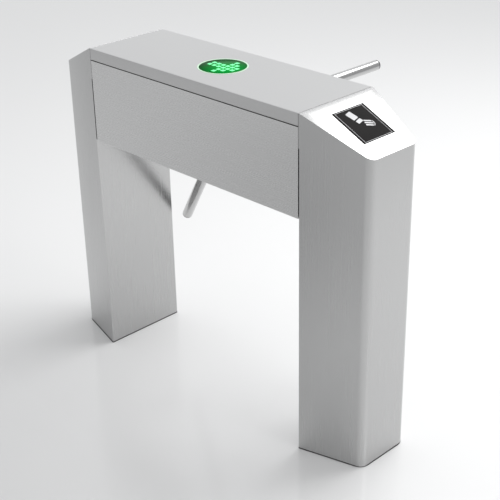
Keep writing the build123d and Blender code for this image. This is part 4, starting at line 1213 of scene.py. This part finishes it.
# ---------------------------------------------------------------- studio
@dataclass
class Studio:
    """Pale floor, soft lights and the camera."""

    lens: float = 82.271
    spot: tuple[float, float, float] = (2.1938, -2.0410, 1.9039)
    azimuth: float = 45.854
    elevation: float = 26.296
    tilt: float = -1.135
    glow_toward: tuple[float, float, float] = (-0.643, 0.624, 0.443)
    glow: tuple[float, float] = (0.58, 1.0)
    # Centre and reach, in metres, of a painted shade patch that darkens the floor in front of the cabinet.
    painted_shade_spot: tuple[float, float] = (-0.5, -1.65)
    painted_shade_reach: tuple[float, float] = (1.75, 1.15)

    def build(self) -> None:
        """Set the camera, the lights and the floor."""
        self.camera()
        self.world()
        self.soft_light("key_softbox", (0.6, 2.1, 3.4), (0.2, 0.1, 0.5), 2.6, 89.0)
        self.soft_light("side_softbox", (3.3, 0.5, 2.5), (0.0, 0.0, 0.3), 1.5, 22.0)
        self.floor()

    def camera(self) -> None:
        """Camera from its azimuth, elevation and tilt."""
        data = bpy.data.cameras.new("camera")
        data.lens, data.sensor_width = self.lens, 36.0
        data.clip_start, data.clip_end = 0.05, 60.0
        a, e, t = (math.radians(v) for v in (self.azimuth, self.elevation, self.tilt))
        ahead = Vector((-math.sin(a) * math.cos(e), math.cos(a) * math.cos(e), -math.sin(e)))
        flat = Vector((math.cos(a), math.sin(a), 0.0))
        above = flat.cross(ahead)
        right = flat * math.cos(t) + above * math.sin(t)
        up = right.cross(ahead)
        rig = bpy.data.objects.new("camera", data)
        rows = (right, up, -ahead)
        turn = Matrix([[rows[c][r] for c in range(3)] for r in range(3)]).to_4x4()
        rig.matrix_world = Matrix.Translation(self.spot) @ turn
        bpy.context.scene.collection.objects.link(rig)
        bpy.context.scene.camera = rig

    def world(self) -> None:
        """Pale surroundings, a little brighter behind the far end."""
        world = bpy.data.worlds.new("studio")
        world.use_nodes = True
        tree = world.node_tree
        back = tree.nodes["Background"]
        back.inputs["Color"].default_value = (0.985, 0.992, 1.0, 1.0)
        place = tree.nodes.new("ShaderNodeTexCoord")
        toward = tree.nodes.new("ShaderNodeVectorMath")
        toward.operation = "DOT_PRODUCT"
        toward.inputs[1].default_value = self.glow_toward
        spread = tree.nodes.new("ShaderNodeMapRange")
        spread.inputs["From Min"].default_value = 0.35
        spread.inputs["To Min"].default_value, spread.inputs["To Max"].default_value = self.glow
        tree.links.new(place.outputs["Generated"], toward.inputs[0])
        tree.links.new(toward.outputs["Value"], spread.inputs["Value"])
        tree.links.new(spread.outputs["Result"], back.inputs["Strength"])
        scene = bpy.context.scene
        scene.world = world
        scene.view_settings.view_transform = "Standard"
        scene.view_settings.look = "None"

    def soft_light(self, name: str, spot: Sequence[float], aim: Sequence[float], size: float, power: float) -> None:
        """Square area light at a spot, turned to its aim.

        Args:
            name: the light's name.
            spot: its place in metres.
            aim: what it points at.
            size: its side in metres.
            power: its power in watts.
        """
        data = bpy.data.lights.new(name, "AREA")
        data.shape, data.size, data.energy = "SQUARE", size, power
        lamp = bpy.data.objects.new(name, data)
        lamp.location = spot
        lamp.rotation_euler = (Vector(aim) - Vector(spot)).to_track_quat("-Z", "Y").to_euler()
        bpy.context.scene.collection.objects.link(lamp)

    def floor(self) -> None:
        """Glossy pale floor: a wide grid raised by nothing, finished with a faint clouding and a painted shade, a soft
        darker patch in front of the cabinet towards the far end.
        """
        span = np.linspace(-9000, 9000, 25)
        x, y = np.meshgrid(span, span, indexing="ij")
        mesh = bpy.data.meshes.new("floor")
        index = np.arange(x.size).reshape(x.shape)
        quads = np.stack([index[:-1, :-1], index[1:, :-1], index[1:, 1:], index[:-1, 1:]], -1).reshape(-1, 4)
        mesh.from_pydata(LEVEL.world(x, y, np.zeros_like(x)).reshape(-1, 3).tolist(), [], quads.tolist())
        floor = bpy.data.objects.new("floor", mesh)
        bpy.context.scene.collection.objects.link(floor)
        bench = NodeBench("studio_floor")
        bench.shader.inputs["IOR"].default_value = 1.5
        clouds = bench.noise((1.0, 1.0, 1.0), 1.3, 3.0)
        mapping = bench.add("ShaderNodeMapping")
        # Painted shade: a spherical falloff round the spot darkens the floor colour from 0.83 to 0.52 towards the
        # patch's centre.
        (x0, y0), (reach_x, reach_y) = self.painted_shade_spot, self.painted_shade_reach
        mapping.inputs["Location"].default_value = (-x0 / reach_x, -y0 / reach_y, 0.0)
        mapping.inputs["Scale"].default_value = (1 / reach_x, 1 / reach_y, 1.0)
        bench.join(bench.place, "Object", mapping, "Vector")
        painted_shade = bench.add("ShaderNodeTexGradient", gradient_type="SPHERICAL")
        bench.join(mapping, "Vector", painted_shade, "Vector")
        bench.paint(bench.blend(bench.spread(painted_shade, 0.0, 1.0, (0.0, 0.85)), (0.83, 0.83, 0.83), (0.52, 0.52, 0.52)))
        bench.join(bench.spread(clouds, 0.10, 0.14, (0.3, 0.7)), "Result", bench.shader, "Roughness")
        floor.data.materials.append(bench.material)


def main() -> None:
    """Build and dress every sub-assembly, then the studio."""
    logging.basicConfig(level=logging.INFO, format="%(name)s: %(message)s")
    for part in (Cabinet(), Readers(), Doors(), Locks(), Lid(), Display(), Tripod(), Mechanism(), Electrics()):
        LOG.info("building %s", type(part).__name__)
        part.build()
        part.dress()
    Studio().build()


if __name__ == "__main__":
    main()
